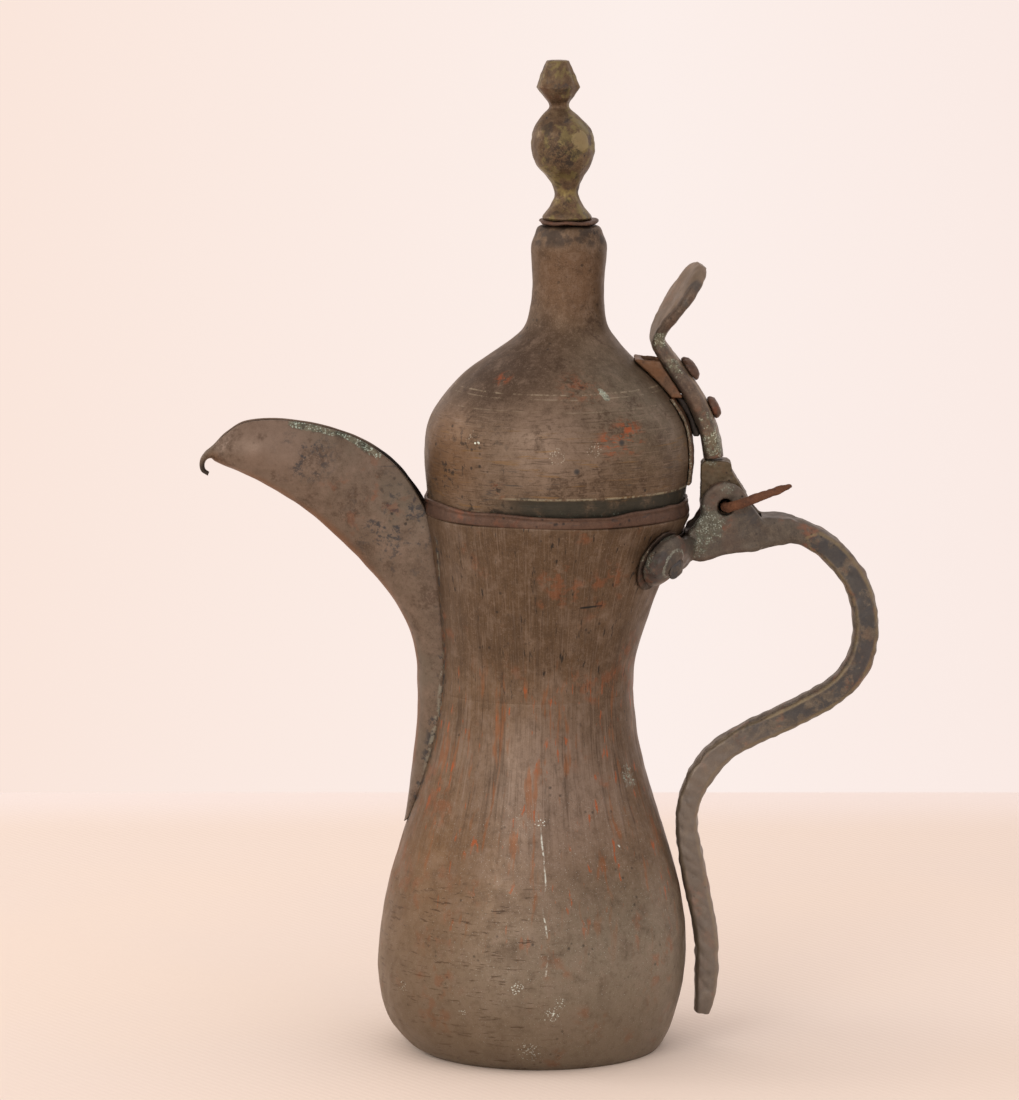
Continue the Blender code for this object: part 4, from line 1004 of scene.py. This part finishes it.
def small_copper():
    """Copper of the rolled strip and rivets, of the patch and bracket, and of the saddle's pad."""
    s = sheet_material("copper_red", srgb(98, 70, 56), srgb(60, 44, 38), srgb(128, 96, 78))
    red = s.done(0.5, 0.6, cast=(0.78, 0.90, 0.95))
    s = sheet_material("copper_patch", srgb(108, 80, 60), srgb(60, 46, 38), srgb(140, 112, 92))
    s.paint((s.band(2, 0.196, 0.200), s.cloud(200, 0.4, 0.6, 4, 0.6)), srgb(132, 90, 58), 0.45)
    s.crust(s.band(1, -0.0072, -0.0083), VERDIGRIS, 0.9, 520, 0.5)
    patch = s.done(0.5, 0.55, cast=(0.86, 0.92, 0.92))
    # Painted shade: the saddle pad's tone is kept dark so that it reads as the shadowed crack beside it.
    s = cast_material("copper_pad", srgb(60, 50, 42), srgb(34, 30, 28), srgb(96, 82, 68),
                      ((29, -29.5, 155, 7, 0.6),), 0.2)
    return red, patch, s.done(0.55, 0.5, 0.5)


def handle_material():
    dark = srgb(58, 52, 50)
    s = cast_material("brass_handle", srgb(96, 82, 71), dark, srgb(134, 117, 100),
                      ((50.5, -9, 161.5, 9, 0.62), (47.5, -9, 155, 6, 0.5),
                       (38, -22, 158, 6, 0.5), (31.5, -27.5, 153, 6, 0.42),
                       (56, -9, 172.5, 4, 0.35)),
                      rings=((40.5, -24.5, 151.5, 4.6, 0.8),))
    s.paint((s.band(0, 0.085, 0.070), s.band(2, 0.14, 0.148)), dark, 0.3)
    off_centre = s.add("Attribute", (("attribute_name", OFF_CENTRE),)).outputs["Fac"]
    scale = s.times(s.cloud(170, 0.42, 0.52, 5, 0.7, 0.3), s.band(2, 0.085, 0.110, 0.4, 1))
    s.paint((s.step(off_centre, 1.8 * MM, 2.6 * MM, 1.0, 0.0), scale), srgb(62, 60, 62), 0.75, -0.2)
    rib = s.step(s.gap(off_centre, 2.9 * MM), 0.2 * MM, 0.7 * MM, 1.0, 0.0)
    s.paint((rib, s.cloud(260, 0.35, 0.55, 4, 0.6)), srgb(128, 108, 80), 0.6)
    s.paint(s.band(2, 0.105, 0.085), srgb(136, 118, 106), 0.5)
    return s.done(0.5, 0.55, 0.5, (1.05, 1.22, 1.28))


def strap_material():
    s = cast_material("brass_strap", srgb(92, 76, 67), srgb(54, 46, 44), srgb(134, 114, 98),
                      ((53.5, -4.5, 185.5, 8, 0.62), (51, -5, 193, 6, 0.36),
                       (36.5, -6.5, 217, 4.5, 0.6), (41, -6.8, 209, 5, 0.4)), 0.35)
    edge = s.math("ADD", s.axis(1), s.band(2, 0.2155, 0.2290, 5.2 * MM, 9.6 * MM))
    s.paint((s.step(edge, -0.4 * MM, 0.5 * MM), s.band(2, 0.188, 0.196)), srgb(140, 116, 96), 0.40)
    s.paint(s.spot(39.2, -11.2, 221.5, 1.2, 0.5), BARE, 0.9)
    return s.done(0.48, 0.55, 0.5, (1.12, 1.27, 1.25))


def finial_material():
    s = cast_material("brass_finial", srgb(102, 78, 56), srgb(56, 44, 36), srgb(146, 122, 88), (), 0.15)
    s.paint(s.cloud(150, 0.50, 0.58, 4, 0.65, 0.3), srgb(132, 114, 70), 0.7)
    s.paint(s.cloud(190, 0.46, 0.36, 4, 0.7, 0.3), srgb(56, 48, 42), 0.6, -0.2)
    bare = s.times(s.spot(12.2, -7, 276.5, 6, 0.1), s.noise(230, 4, 0.7))
    s.paint(s.step(bare, 0.26, 0.32), srgb(152, 130, 90), 0.8)
    s.paint((s.spot(7, -9.5, 272.5, 8), s.cloud(900, 0.47, 0.55, 5, 0.85)), SOOT_AND_SHADE, 0.75, -0.3)
    s.paint((s.spot(8.5, -4.0, 258.5, 6.0), s.cloud(300, 0.45, 0.6, 3, 0.55)), srgb(158, 136, 82), 0.7)
    return s.done(0.42, 0.65, 0.6, (0.86, 0.98, 1.08))


def knuckle_material():
    s = cast_material("brass_knuckle", srgb(100, 84, 62), srgb(74, 60, 46), srgb(124, 106, 80),
                      ((52, -5.2, 180, 3, 0.5),), 0.1)
    return s.done(0.5, 0.5, 0.3, (0.76, 0.85, 0.9))


def iron_materials():
    rust = Metal("iron_rust", srgb(112, 68, 46))
    rust.grain(srgb(70, 42, 32), srgb(150, 96, 66), 1.3)
    rust.pits(700, 0.45, 0.6, 0.7)
    # Partly painted shade: the spacer under the strap is dark iron, and its near-black tone also stands for
    # the shaded gap between the strap and the dome.
    dark = Metal("iron_dark", srgb(40, 35, 31))
    dark.grain(srgb(20, 18, 17), srgb(70, 62, 54), 1.2)
    return rust.done(0.75, 0.15, 0.8, (0.66, 0.75, 0.73)), dark.done(0.75, 0.1, 0.8)


def main():
    dome_copper, handle_brass, finial_brass = dome_material(), handle_material(), finial_material()
    red, patch, pad = small_copper()
    rust, dark = iron_materials()
    build_body(body_material())
    build_spout(spout_material())
    build_dome(dome_copper)
    build_flange(red)
    build_sleeve(dome_copper)
    build_finial(finial_brass, red)
    build_lever(strap_material())
    build_handle(handle_brass)
    build_small_parts((handle_brass, patch, red, rust, dark, knuckle_material(), pad))
    build_stage()
    build_light()
    build_camera()


main()
